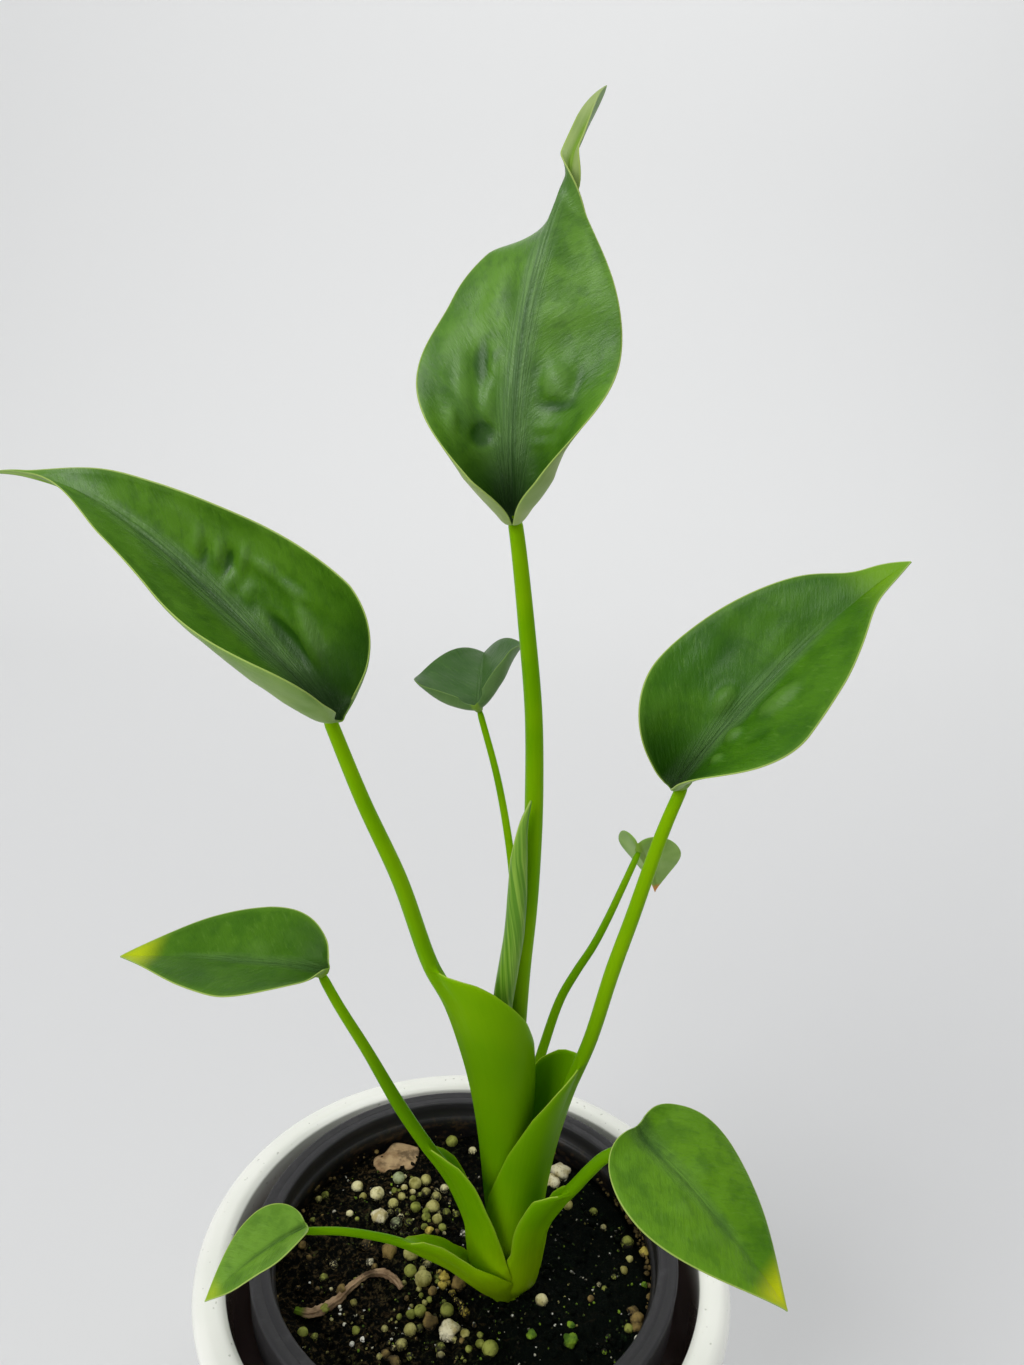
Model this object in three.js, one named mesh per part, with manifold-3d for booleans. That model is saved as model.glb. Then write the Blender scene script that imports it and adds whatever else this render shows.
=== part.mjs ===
// Potted tiny dancer alocasia: an upright aroid with cupped, pointed leaves on sheathed
// stalks, in a black nursery pot that stands loose in a white glazed pot.
// Millimetres, +Z up, +X to the viewer's right, +Y away from the viewer. The origin is the
// middle of the white pot's underside.

import * as THREE from 'three';
import { mergeVertices } from 'three/addons/utils/BufferGeometryUtils.js';
import Module from 'manifold-3d';

const wasm = await Module();
wasm.setup();

// Driving sizes shared by all pieces
const GAP = 0.3;                  // clearance between pieces that touch
const POT_SIDES = 44;
const BLADE_THICKNESS = 0.6;
const TAIL_CLOSES = 0.85;         // share of a blade's length where its tail starts to close
const DROP_ENDS = 0.8;            // share of the length where a dropped half has risen again
const MIDRIB_RELIEF = 0.5;        // how far the midrib stands out of a blade's underside
const SHEATH_THICKNESS = 0.7;
const STATION_SPACING = 15;       // between the rings of a free stalk
const PLAIN_WRAP = 12;            // wrap radius of a stalk that has no sheath
const EDGE_SHARE = 0.985;         // where the outermost points of a stalk's section lie

const WHITE_POT = {
  wallRadius: 61.4, lipRadius: 62.4, crownRadius: 57.5, mouthRadius: 55.1,
  height: 97.5, lipHeight: 94, footRound: 3, floor: 7, floorRound: 4,
};

const BLACK_POT = {
  rimRadius: 50, rimInner: 45.2, rimHeight: 100, bandDrop: 11, bandStep: 1.4,
  wall: 1.2, footRadius: 36.5, floorLift: 2.5, footRing: 3.5, ledgeDrop: 4.5, ledgeWidth: 1.1,
  drainHoles: 6, drainRadius: 3.5, drainCircle: 22,
};
const BLACK_POT_FOOT = WHITE_POT.floor + GAP;

const SOIL = { top: 89.6, relief: 0.7, rings: 6, sectors: 36, seed: 7 };

// The stalks rise together out of the soil from this point
const NEST = { x: 9.9, y: -5, foot: 88.3 };

const CORM = {
  top: 88, bottom: 70, topRadius: 5.2, shoulderRadius: 5.6, shoulderHeight: 83, tipRadius: 2.5,
};
const NEST_HOLE_RADIUS = 6.9;

// Controlled-release and clay grains on the soil: groups of them round a middle point
const GRAIN_GROUPS = [
  { count: 20, middle: [-17, 14], spread: [13, 15], radius: [1.2, 1.9] },
  { count: 8, middle: [-14, -12], spread: [12, 10], radius: [1.1, 1.7] },
  { count: 7, middle: [30, 4], spread: [12, 14], radius: [1.1, 1.8] },
];
const LARGE_LUMPS = [
  { at: [22.6, 29.3], radius: 3.4 },
  { at: [39, -12], radius: 3.0 },
  { at: [-22.2, 13.2], radius: 2.2 },
];

const DRY_STALK = {
  route: [[-37.5, -15], [-33.5, -15.5], [-29, -12.3], [-26, -8], [-22.8, -4.6], [-19.5, -3.6],
    [-16.2, -5.6]],
  radius: 1.2, height: 90.6,
};
const DRY_SCRAP = { at: [-20.5, 33.5], length: 13, width: 9, thickness: 1.4, heading: 35, height: 89.8 };

// Leaves. foot: where the stalk meets the blade. heading, rise, roll: the direction of the
// midrib there, in degrees, heading counted from +X towards +Y. behind: how far the blade
// reaches back past the foot, scooped up like a spoon. widest, bodyEnd: fractions of the
// blade's length. lift, hook, sway, curve: how the midrib bends up and sideways on its way to
// the tip. fold and curl: the angles of the two halves at base, middle and tip. drop: how much
// further down than the right half the left one is folded, from the share dropFrom on.
// path: the stalk's middle line from the soil up to the foot. girth: [height, radius] of
// the stalk. facing: the heading of the stalk's outer side. sheath: [height, radius of the
// wrap, angle covered clockwise of the facing side, angle covered anticlockwise].
const LEAVES = [
  {
    name: 'leaf_1_tall', foot: [2.2, 8.7, 270], heading: 69, rise: 99, roll: 20,
    length: 87.5, behind: 3.6, width: 39.6, widest: 0.13, roundness: 1.3, fullness: 4.7,
    taper: 2, bodyEnd: 0.75, tail: 5.4, lift: -19, hook: -46, sway: 73, curve: -49.5,
    twist: -183, twistFrom: 0.64, twistTo: 0.77, turn: -55, fold: [-1.5, -22.5, -56],
    curl: [178, 17.5, -10], drop: 28.5, dropFrom: 0.55, scoop: 80, lobe: 0,
    along: 30, across: 4,
    path: [[10.4, -4.3, 88.3], [10.2, -3.8, 100], [9.3, -2.8, 114], [9, -1.5, 134],
      [8.9, 0, 150], [9.2, 1.8, 170], [9.9, 3, 186], [10, 3.9, 200], [9.7, 4.5, 212],
      [8.6, 5.5, 229], [6, 6.9, 248], [3.8, 8.2, 262]],
    girth: [[88, 0.9], [100, 1.4], [114, 1.75], [150, 2.1], [212, 1.95], [248, 1.7], [270, 1.45]],
    sheath: [], facing: 60,
  },
  {
    name: 'leaf_2_left', foot: [-30.6, -9.6, 231.7], heading: 163, rise: 39, roll: -35,
    length: 86, behind: 4.1, width: 52, widest: 0.18, roundness: 2.25, fullness: 1.21,
    taper: 1.1, bodyEnd: 0.9, tail: 2.2, lift: 13, hook: -52, sway: -15, curve: -22,
    twist: 62, twistFrom: 0.6, twistTo: 1, turn: -17, fold: [28, 21.5, 35.5],
    curl: [80, 56.5, 10], scoop: 80, lobe: -1.5, along: 14, across: 4,
    path: [[7.9, -6.2, 88.3], [6.8, -6.7, 98], [4.9, -6.4, 114], [2.7, -6.1, 134],
      [0.8, -6.5, 146], [-1.5, -7, 156], [-5.5, -7.5, 168.6], [-9.8, -8, 177],
      [-16.5, -9, 196.8], [-24, -9.9, 214.2]],
    girth: [[88, 0.5], [114, 0.7], [146, 1.3], [170, 1.75], [197, 1.65], [232, 1.35]],
    sheath: [[88, 2.3, 150, 150], [97, 3.4, 150, 150], [106, 4, 150, 150], [114, 4.4, 150, 150],
      [125, 5, 150, 150], [135, 5.8, 148, 150], [145, 6.8, 146, 148], [154, 7.6, 136, 140],
      [160, 7.9, 112, 120], [165, 8, 84, 90], [169, 8, 62, 66], [172, 8, 42, 44],
      [173.5, 8, 10, 10]],
    facing: 210,
  },
  {
    name: 'leaf_3_right', foot: [38.8, -2.9, 218.7], heading: -6, rise: 59, roll: 46,
    length: 61, behind: 2.6, width: 38, widest: 0.29, roundness: 1.9, fullness: 1.83,
    taper: 1, bodyEnd: 1, tail: 0, lift: -11, hook: -5, sway: 14.5, curve: -2.5,
    twist: -23, twistFrom: 0.6, twistTo: 1, turn: 4.5, fold: [42, 20.5, 22.5],
    curl: [45, 3, 2], scoop: 76, lobe: -1.2, along: 12, across: 4,
    path: [[13.2, -5.3, 88.3], [15.2, -5.4, 97], [16.4, -5.4, 108], [17, -5.2, 119],
      [18.3, -5, 131], [21, -5, 145.5], [24.9, -4.5, 158.5], [28.5, -4, 175.7],
      [31.4, -4, 187.8], [36.2, -3.8, 208.5]],
    girth: [[88, 0.5], [119, 0.9], [146, 1.5], [176, 1.6], [200, 1.45], [219, 1.25]],
    sheath: [[88, 3.3, 140, 140], [92, 4.2, 140, 140], [97, 5.3, 140, 140], [108, 6.5, 140, 142],
      [119, 7.1, 134, 142], [131, 6.8, 114, 136], [141, 6.3, 90, 124], [147, 6, 64, 104],
      [151, 6, 40, 70], [153.5, 6, 12, 16]],
    facing: -5,
  },
  {
    name: 'leaf_4_back', foot: [-4.3, 48.2, 215.2], heading: 90, rise: 7, roll: -23,
    length: 37, behind: 3.9, width: 35.3, widest: 0.17, roundness: 2.4, fullness: 1.83,
    taper: 0.83, bodyEnd: 1, tail: 0, lift: 9, hook: -19, sway: -1, curve: -2,
    twist: 4, twistFrom: 0.6, twistTo: 1, turn: 7, fold: [12.5, 27, 36.5],
    curl: [66, 4, 12.5], scoop: 80, lobe: 0, along: 10, across: 4,
    path: [[8.3, -1, 88.3], [7.8, 0.7, 98], [8.7, 4.4, 111], [9.1, 9, 131], [8.6, 14.5, 149],
      [7.9, 21, 163.9], [7.1, 27, 175.2], [5.5, 32, 184.6], [1.6, 40, 199.4]],
    girth: [[88, 0.5], [111, 0.9], [131, 1.1], [175, 1], [215, 0.8]],
    sheath: [[88, 4.3, 30, 30], [98, 5.9, 28, 28], [111, 6.6, 26, 26], [117, 6.6, 20, 20],
      [122, 6.6, 8, 8]],
    facing: 112,
  },
  {
    name: 'leaf_5_back_small', foot: [41.6, 66, 170.2], heading: 60, rise: -47, roll: -5.5,
    length: 26.5, behind: 2.9, width: 21, widest: 0.34, roundness: 2, fullness: 1.5,
    taper: 1.4, bodyEnd: 1, tail: 0, lift: -4, hook: -8.5, sway: -3, curve: -1,
    twist: 7, twistFrom: 0.6, twistTo: 1, turn: 0.5, fold: [33, 21.5, 27],
    curl: [14, 7, 5.5], scoop: 37, lobe: 0.9, along: 8, across: 3,
    path: [[12.5, -1.6, 88.3], [13.5, -0.2, 98], [13.6, 3.5, 110], [13.2, 7.5, 122],
      [14, 12.5, 133], [16.7, 20.4, 139.8], [20.2, 28.6, 146.3], [24.1, 34.4, 150.6],
      [28.3, 40.2, 154.4], [32.2, 47, 158.6], [36.8, 56, 164.2]],
    girth: [[88, 0.5], [110, 1], [133, 1.25], [147, 1.1], [170, 0.9]],
    sheath: [[88, 4.3, 30, 30], [98, 5.9, 28, 28], [110, 6.8, 26, 26], [117, 6.8, 20, 20],
      [123, 6.8, 10, 10]],
    facing: 52,
  },
  {
    name: 'leaf_6_low_left', foot: [-31.3, -15.9, 179.4], heading: 166, rise: -3.5, roll: -19.5,
    length: 45, behind: 2.8, width: 24.7, widest: 0.37, roundness: 2.1, fullness: 1.55,
    taper: 0.93, bodyEnd: 1, tail: 0, lift: -8, hook: 9, sway: -8, curve: -4.5,
    twist: 9.5, twistFrom: 0.6, twistTo: 1, turn: 2.5, fold: [25, 17, 17],
    curl: [12, -2, -2.5], scoop: 72, lobe: -0.9, along: 11, across: 3,
    path: [[6, -6.8, 88.3], [3.6, -7.5, 95.5], [1.2, -8.3, 103], [0.6, -9.3, 112.2],
      [-1.5, -10.2, 119.8], [-4.4, -11.2, 127.4], [-8.9, -12.2, 135], [-14.9, -13.4, 145.9],
      [-22, -14.8, 160.7], [-27.6, -15.6, 171.4]],
    girth: [[88, 0.5], [112, 0.9], [128, 1.4], [146, 1.4], [160, 1.15], [179, 0.95]],
    sheath: [[88, 4.3, 62, 62], [92, 5.5, 62, 62], [96, 7.2, 60, 60], [103, 8.8, 60, 58],
      [112, 8.6, 56, 56], [119, 7.6, 58, 60], [125.5, 6.2, 58, 66], [130, 5, 50, 66],
      [134, 4.4, 26, 46], [136, 4.2, 8, 10]],
    facing: 205,
  },
  {
    name: 'leaf_8_low_right', foot: [35.1, -30.6, 154.8], heading: -41.5, rise: -20, roll: 4.5,
    length: 36.5, behind: 3.9, width: 30, widest: 0.31, roundness: 2.36, fullness: 1.73,
    taper: 1.11, bodyEnd: 1, tail: 0, lift: -13, hook: -14.5, sway: -6, curve: 0.5,
    twist: -3.5, twistFrom: 0.6, twistTo: 1, turn: -9.5, fold: [5.5, 8.5, 10],
    curl: [0, -16, -8], scoop: 53, lobe: 1.2, along: 10, across: 3,
    path: [[13.6, -7.2, 88.3], [15.2, -7.9, 94], [16.3, -8.6, 99], [16.8, -9.6, 104.5],
      [17, -11.2, 111], [17.9, -13.6, 119], [20.3, -16.2, 126.4], [22.8, -19, 133], [25.3, -22, 140],
      [27.8, -25, 146.2], [31, -28.2, 151]],
    girth: [[88, 0.5], [110, 1], [122, 1.4], [140, 1.3], [155, 1.1]],
    sheath: [[88, 4.3, 57, 57], [92, 5.6, 57, 57], [96, 6.8, 57, 57], [103, 7.6, 58, 58],
      [109, 7.4, 58, 56],
      [115, 6.6, 62, 56], [121, 5.6, 64, 54], [126, 4.8, 58, 46], [130, 4.4, 34, 24],
      [132, 4.4, 8, 8]],
    facing: -30,
  },
  {
    name: 'leaf_7_lowest', foot: [-32.9, -27.3, 126.3], heading: 213.5, rise: -7, roll: -0.5,
    length: 22, behind: 0.9, width: 15.2, widest: 0.31, roundness: 2.14, fullness: 1.66,
    taper: 1.13, bodyEnd: 1, tail: 0, lift: -28, hook: -2, sway: -2.5, curve: 2,
    twist: -7, twistFrom: 0.6, twistTo: 1, turn: 0, fold: [28.5, 21, 10],
    curl: [11.5, 5, -8], scoop: 51, lobe: 0.2, along: 8, across: 3,
    path: [[7.7, -9.8, 88.3], [6.7, -11.4, 92.5], [4.6, -12.9, 96.8], [2.2, -14, 100.8],
      [-0.6, -14.9, 104.2],
      [-3.5, -15.9, 107.6], [-7.4, -17.5, 111.2], [-13.6, -20, 116.7], [-18.7, -22, 120],
      [-25.4, -24.6, 123.4]],
    girth: [[88, 0.5], [99, 0.9], [108, 1.2], [116, 0.95], [126, 0.75]],
    sheath: [[88, 5.3, 55, 60], [92.5, 7, 56, 64], [96.8, 8.2, 56, 62], [100.8, 7.6, 58, 62],
      [104.2, 6, 68, 70],
      [107.6, 4.8, 80, 80], [111.2, 4, 80, 80], [114.5, 3.6, 56, 56], [116.5, 3.4, 12, 12]],
    facing: 245,
  },
];

// The newest leaf, still rolled up, in front of the tall leaf's stalk
const BUD = {
  name: 'leaf_9_furled',
  path: [[9, -6, 88.3], [7.6, -5.7, 100], [6.5, -5, 114], [5.8, -3.5, 138],
    [5.5, -2.6, 155.8], [5.8, -2, 165.6], [6.6, -1.6, 174], [7.3, -1.2, 181], [7.5, -0.8, 190],
    [7.4, -0.2, 199], [7.9, 0.1, 206.5], [9.1, 0.4, 211.5]],
  girth: [[88, 0.6], [100, 0.9], [155, 1.05], [168, 1.15], [180, 1.55], [190, 1.85],
    [199, 1.65], [206.5, 0.9], [211.5, 0.25]],
  overlap: 0.16,        // step in radius where the rolled edge ends
  seamTurns: 0.6,
};

const COLOURS = {
  glaze: [0xe8e9dc, 0.18], blackPlastic: [0x2e2e2d, 0.5], soil: [0x16150f, 0.95],
  corm: [0x6b4f33, 0.9], leaf: [0x3f7326, 0.35], youngLeaf: [0x5f9a2c, 0.4],
  stalk: [0x6f9d12, 0.4], dry: [0x8a6f45, 0.9],
};

const plant = new THREE.Group();

// Geometry helpers

const radians = THREE.MathUtils.degToRad;

function between(a, b, t) {
  return a + (b - a) * t;
}

function ease(t) {
  const c = THREE.MathUtils.clamp(t, 0, 1);
  return c * c * (3 - 2 * c);
}

// Value at x in rows of [x, value, ...], straight between the rows
function along(rows, x, column = 1) {
  if (x <= rows[0][0]) return rows[0][column];
  for (let k = 1; k < rows.length; k += 1) {
    const [before, after] = [rows[k - 1], rows[k]];
    if (x <= after[0]) {
      return between(before[column], after[column], (x - before[0]) / (after[0] - before[0]));
    }
  }
  return rows[rows.length - 1][column];
}

function randomFrom(seed) {
  let state = seed;
  return () => {
    state = (state * 16807) % 2147483647;
    return state / 2147483647;
  };
}

function arc(x, y, radius, from, to, steps) {
  const points = [];
  for (let k = 0; k <= steps; k += 1) {
    const angle = radians(between(from, to, k / steps));
    points.push([x + radius * Math.cos(angle), y + radius * Math.sin(angle)]);
  }
  return points;
}

// One closed mesh with its shared corners merged and its collapsed triangles dropped
function closed(geometry) {
  geometry.deleteAttribute('normal');
  geometry.deleteAttribute('uv');
  const merged = mergeVertices(geometry, 1e-4);
  const kept = [];
  const index = merged.index.array;
  for (let k = 0; k < index.length; k += 3) {
    const [a, b, c] = [index[k], index[k + 1], index[k + 2]];
    if (a !== b && b !== c && c !== a) kept.push(a, b, c);
  }
  merged.setIndex(kept);
  return merged;
}

function solidOf(geometry) {
  const clean = closed(geometry);
  return new wasm.Manifold(new wasm.Mesh({
    numProp: 3,
    vertProperties: new Float32Array(clean.attributes.position.array),
    triVerts: new Uint32Array(clean.index.array),
  }));
}

function geometryOf(solid) {
  const mesh = solid.getMesh();
  const geometry = new THREE.BufferGeometry();
  geometry.setAttribute('position', new THREE.BufferAttribute(mesh.vertProperties, 3));
  geometry.setIndex(new THREE.BufferAttribute(mesh.triVerts, 1));
  geometry.computeVertexNormals();
  return geometry;
}

function largestBody(solid) {
  return solid.decompose().reduce((best, body) => (body.volume() > best.volume() ? body : best));
}

function addPiece(name, geometry, [colour, roughness]) {
  const material = new THREE.MeshStandardMaterial({ color: colour, roughness, metalness: 0 });
  const mesh = new THREE.Mesh(geometry, material);
  mesh.name = name;
  plant.add(mesh);
}

// Closed shell between two grids of points, split into triangles alike on both faces
function shellGeometry(upper, lower) {
  const rows = upper.length;
  const columns = upper[0].length;
  const positions = [...upper.flat(), ...lower.flat()].flatMap((p) => [p.x, p.y, p.z]);
  const index = [];
  const top = (i, j) => i * columns + j;
  const under = (i, j) => rows * columns + top(i, j);
  const quad = (a, b, c, d) => index.push(a, b, c, a, c, d);
  for (let i = 0; i < rows - 1; i += 1) {
    for (let j = 0; j < columns - 1; j += 1) {
      quad(top(i, j), top(i, j + 1), top(i + 1, j + 1), top(i + 1, j));
      index.push(under(i, j), under(i + 1, j + 1), under(i, j + 1));
      index.push(under(i, j), under(i + 1, j), under(i + 1, j + 1));
    }
    quad(top(i, 0), top(i + 1, 0), under(i + 1, 0), under(i, 0));
    quad(top(i + 1, columns - 1), top(i, columns - 1), under(i, columns - 1),
      under(i + 1, columns - 1));
  }
  for (let j = 0; j < columns - 1; j += 1) {
    quad(top(0, j + 1), top(0, j), under(0, j), under(0, j + 1));
    quad(top(rows - 1, j), top(rows - 1, j + 1), under(rows - 1, j + 1), under(rows - 1, j));
  }
  const geometry = new THREE.BufferGeometry();
  geometry.setAttribute('position', new THREE.Float32BufferAttribute(positions, 3));
  geometry.setIndex(index);
  return geometry;
}

// Closed tube through rings of points that all have the same number of corners
function ringGeometry(rings) {
  const count = rings[0].length;
  const positions = rings.flat().flatMap((p) => [p.x, p.y, p.z]);
  const index = [];
  for (let i = 0; i < rings.length - 1; i += 1) {
    for (let j = 0; j < count; j += 1) {
      const next = (j + 1) % count;
      const [a, b, c, d] = [i * count + j, i * count + next, (i + 1) * count + next,
        (i + 1) * count + j];
      index.push(a, b, c, a, c, d);
    }
  }
  const capStart = (rings.length - 1) * count;
  const middle = count / 2;
  // each end is a ladder of triangles between the outer and the inner half of the ring
  for (let j = 0; j < middle - 1; j += 1) {
    const mirror = count - 1 - j;
    index.push(j, mirror, mirror - 1, j, mirror - 1, j + 1);
    index.push(capStart + j, capStart + mirror - 1, capStart + mirror);
    index.push(capStart + j, capStart + j + 1, capStart + mirror - 1);
  }
  const geometry = new THREE.BufferGeometry();
  geometry.setAttribute('position', new THREE.Float32BufferAttribute(positions, 3));
  geometry.setIndex(index);
  return geometry;
}

function revolved(profile) {
  const points = profile.map(([r, z]) => new THREE.Vector2(r, z));
  return closed(new THREE.LatheGeometry(points, POT_SIDES).rotateX(Math.PI / 2));
}

// Pots

function whitePot() {
  const p = WHITE_POT;
  const lipRound = p.height - p.lipHeight;
  const profile = [
    [0, 0],
    ...arc(p.wallRadius - p.footRound, p.footRound, p.footRound, -90, 0, 2),
    [p.wallRadius, p.lipHeight - lipRound],
    ...arc(p.lipRadius - lipRound, p.lipHeight, lipRound, 0, 60, 2),
    [p.crownRadius, p.height],
    [p.mouthRadius, p.height - 1.5],
    ...arc(p.mouthRadius - p.floorRound, p.floor + p.floorRound, p.floorRound, 0, -90, 2),
    [0, p.floor],
  ];
  addPiece('white_pot', revolved(profile), COLOURS.glaze);
}

// Radius of the black pot's outside below its rim band
function blackPotRadius(z) {
  const bandFoot = BLACK_POT.rimHeight - BLACK_POT.bandDrop;
  const t = (z - BLACK_POT_FOOT) / (bandFoot - BLACK_POT_FOOT);
  return between(BLACK_POT.footRadius, BLACK_POT.rimRadius - BLACK_POT.bandStep - 1.6, t);
}

function blackPotProfile() {
  const p = BLACK_POT;
  const bandFoot = p.rimHeight - p.bandDrop;
  const floorTop = BLACK_POT_FOOT + p.floorLift + p.wall;
  return [
    [0, BLACK_POT_FOOT + p.floorLift],
    [p.footRadius - p.footRing, BLACK_POT_FOOT + p.floorLift],
    [p.footRadius - p.footRing, BLACK_POT_FOOT],
    [p.footRadius, BLACK_POT_FOOT],
    [blackPotRadius(bandFoot), bandFoot],
    [p.rimRadius - 0.4, bandFoot + 0.4],
    [p.rimRadius, p.rimHeight - 0.5],
    [p.rimRadius - 0.5, p.rimHeight],
    [p.rimInner, p.rimHeight],
    [p.rimInner, p.rimHeight - p.ledgeDrop],
    [p.rimInner - p.ledgeWidth, p.rimHeight - p.ledgeDrop - 0.6],
    [blackPotRadius(bandFoot) - p.wall, bandFoot - 1],
    [blackPotRadius(floorTop) - p.wall - 1, floorTop],
    [0, floorTop],
  ];
}

function blackPot() {
  let pot = solidOf(revolved(blackPotProfile()));
  for (let k = 0; k < BLACK_POT.drainHoles; k += 1) {
    const angle = (k / BLACK_POT.drainHoles) * 2 * Math.PI;
    const drill = new THREE.CylinderGeometry(BLACK_POT.drainRadius, BLACK_POT.drainRadius, 20, 12);
    drill.rotateX(Math.PI / 2);
    drill.translate(BLACK_POT.drainCircle * Math.cos(angle),
      BLACK_POT.drainCircle * Math.sin(angle), BLACK_POT_FOOT);
    pot = pot.subtract(solidOf(drill));
  }
  addPiece('black_nursery_pot', geometryOf(pot), COLOURS.blackPlastic);
}

// Soil and what lies on it

function soilHeight(x, y) {
  const waves = Math.sin(x * 0.31 + 1.1) * Math.cos(y * 0.27 - 0.4)
    + 0.6 * Math.sin(x * 0.13 - y * 0.17 + 2) + 0.5 * Math.cos(x * 0.47 + y * 0.39);
  const flatRound = ease((Math.hypot(x - NEST.x, y - NEST.y) - NEST_HOLE_RADIUS) / 8);
  return SOIL.top + SOIL.relief * waves * flatRound;
}

function soilBody() {
  const wallTop = SOIL.top - 1.2;
  const floorTop = BLACK_POT_FOOT + BLACK_POT.floorLift + BLACK_POT.wall + GAP;
  const innerRadius = (z) => blackPotRadius(z) - BLACK_POT.wall - GAP - 0.2;
  const edgeRadius = innerRadius(wallTop) - 0.3;
  const profile = [
    [0, floorTop],
    [innerRadius(floorTop) - 1, floorTop],
    [edgeRadius, wallTop],
  ];
  for (let k = SOIL.rings; k >= 0; k -= 1) profile.push([(edgeRadius * k) / SOIL.rings, SOIL.top]);
  const points = profile.map(([r, z]) => new THREE.Vector2(r, z));
  const geometry = new THREE.LatheGeometry(points, SOIL.sectors).rotateX(Math.PI / 2);
  const position = geometry.attributes.position;
  for (let k = 0; k < position.count; k += 1) {
    if (position.getZ(k) > wallTop + 0.1) {
      position.setZ(k, soilHeight(position.getX(k), position.getY(k)));
    }
  }
  return solidOf(geometry);
}

function grain(x, y, radius, random) {
  const ball = new THREE.IcosahedronGeometry(radius, radius > 3 ? 1 : 0);
  ball.rotateZ(random() * Math.PI);
  ball.rotateX(random() * Math.PI);
  ball.scale(between(0.85, 1.1, random()), between(0.85, 1.1, random()), 0.85);
  ball.translate(x, y, soilHeight(x, y) + radius * 0.35);
  return solidOf(ball);
}

function grainPlaces(random) {
  const places = LARGE_LUMPS.map((lump) => ({ x: lump.at[0], y: lump.at[1], r: lump.radius }));
  const clear = (x, y, r) => Math.hypot(x, y) < 40 - r
    && Math.hypot(x - NEST.x, y - NEST.y) > NEST_HOLE_RADIUS + 3 + r
    && Math.hypot(x - DRY_SCRAP.at[0], y - DRY_SCRAP.at[1]) > DRY_SCRAP.length / 2 + 1 + r
    && DRY_STALK.route.every(([a, b]) => Math.hypot(x - a, y - b) > 3.6 + r)
    && places.every((p) => Math.hypot(x - p.x, y - p.y) > (p.r + r) * 0.9);
  for (const group of GRAIN_GROUPS) {
    let placed = 0;
    for (let attempt = 0; placed < group.count && attempt < 400; attempt += 1) {
      const x = group.middle[0] + group.spread[0] * (random() * 2 - 1);
      const y = group.middle[1] + group.spread[1] * (random() * 2 - 1);
      const r = between(group.radius[0], group.radius[1], random());
      if (clear(x, y, r)) {
        places.push({ x, y, r });
        placed += 1;
      }
    }
  }
  return places;
}

// The plain hole that the stalks and the corm stand in, wider than both by the gap
function nestHole() {
  const hole = [
    [0, CORM.bottom - GAP],
    [CORM.tipRadius + GAP, CORM.bottom - GAP],
    [CORM.shoulderRadius + GAP, CORM.shoulderHeight],
    [NEST_HOLE_RADIUS, CORM.top],
    [NEST_HOLE_RADIUS, SOIL.top + 6],
    [0, SOIL.top + 6],
  ];
  const points = hole.map(([r, z]) => new THREE.Vector2(r, z));
  const geometry = new THREE.LatheGeometry(points, 28).rotateX(Math.PI / 2);
  return solidOf(geometry.translate(NEST.x, NEST.y, 0));
}

function soil() {
  const random = randomFrom(SOIL.seed);
  let body = soilBody();
  for (const place of grainPlaces(random)) body = body.add(grain(place.x, place.y, place.r, random));
  body = body.subtract(nestHole());
  body = body.subtract(solidOf(dryStalkGeometry(GAP)));
  body = body.subtract(solidOf(dryScrapGeometry(GAP)));
  addPiece('soil', geometryOf(largestBody(body)), COLOURS.soil);
}

function corm() {
  const c = CORM;
  const profile = [
    [0, c.bottom],
    [c.tipRadius, c.bottom],
    [c.shoulderRadius, c.shoulderHeight],
    [c.topRadius, c.top],
    [0, c.top],
  ];
  const points = profile.map(([r, z]) => new THREE.Vector2(r, z));
  const geometry = new THREE.LatheGeometry(points, 24).rotateX(Math.PI / 2);
  addPiece('corm', closed(geometry.translate(NEST.x, NEST.y, 0)), COLOURS.corm);
}

// A shed, curled stalk base. It lies level, pressed a little into the soil.
function dryStalkGeometry(extra = 0) {
  const route = DRY_STALK.route.map(([x, y]) => new THREE.Vector3(x, y, DRY_STALK.height));
  const before = route[0].clone().sub(route[1]).setLength(extra);
  const after = route.at(-1).clone().sub(route.at(-2)).setLength(extra);
  route[0].add(before);
  route.at(-1).add(after);
  const curve = new THREE.CatmullRomCurve3(route);
  const section = new THREE.Shape(arc(0, 0, DRY_STALK.radius + extra, 22.5, 337.5, 7)
    .map(([x, y]) => new THREE.Vector2(x, y)));
  return new THREE.ExtrudeGeometry(section, { steps: 12, extrudePath: curve });
}

// A flat scrap of a dead leaf, pressed a little into the soil
function dryScrapGeometry(extra = 0) {
  const s = DRY_SCRAP;
  const half = { length: s.length / 2 + extra, width: s.width / 2 + extra };
  const outline = new THREE.Shape();
  outline.moveTo(-half.length, -half.width * 0.4);
  outline.quadraticCurveTo(0, -half.width * 1.24, half.length, -half.width * 0.2);
  outline.quadraticCurveTo(half.length * 0.6, half.width, -half.length * 0.2, half.width);
  outline.quadraticCurveTo(-half.length * 0.9, half.width * 0.6, -half.length, -half.width * 0.4);
  const chip = new THREE.ExtrudeGeometry(outline, {
    depth: s.thickness + 2 * extra, bevelEnabled: false, curveSegments: 3,
  });
  chip.rotateZ(radians(s.heading));
  return chip.translate(s.at[0], s.at[1], s.height - extra);
}

function dryPieces() {
  addPiece('dry_stalk_scrap', closed(dryStalkGeometry()), COLOURS.dry);
  addPiece('dry_leaf_scrap', closed(dryScrapGeometry()), COLOURS.dry);
}

// Leaf blades

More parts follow.
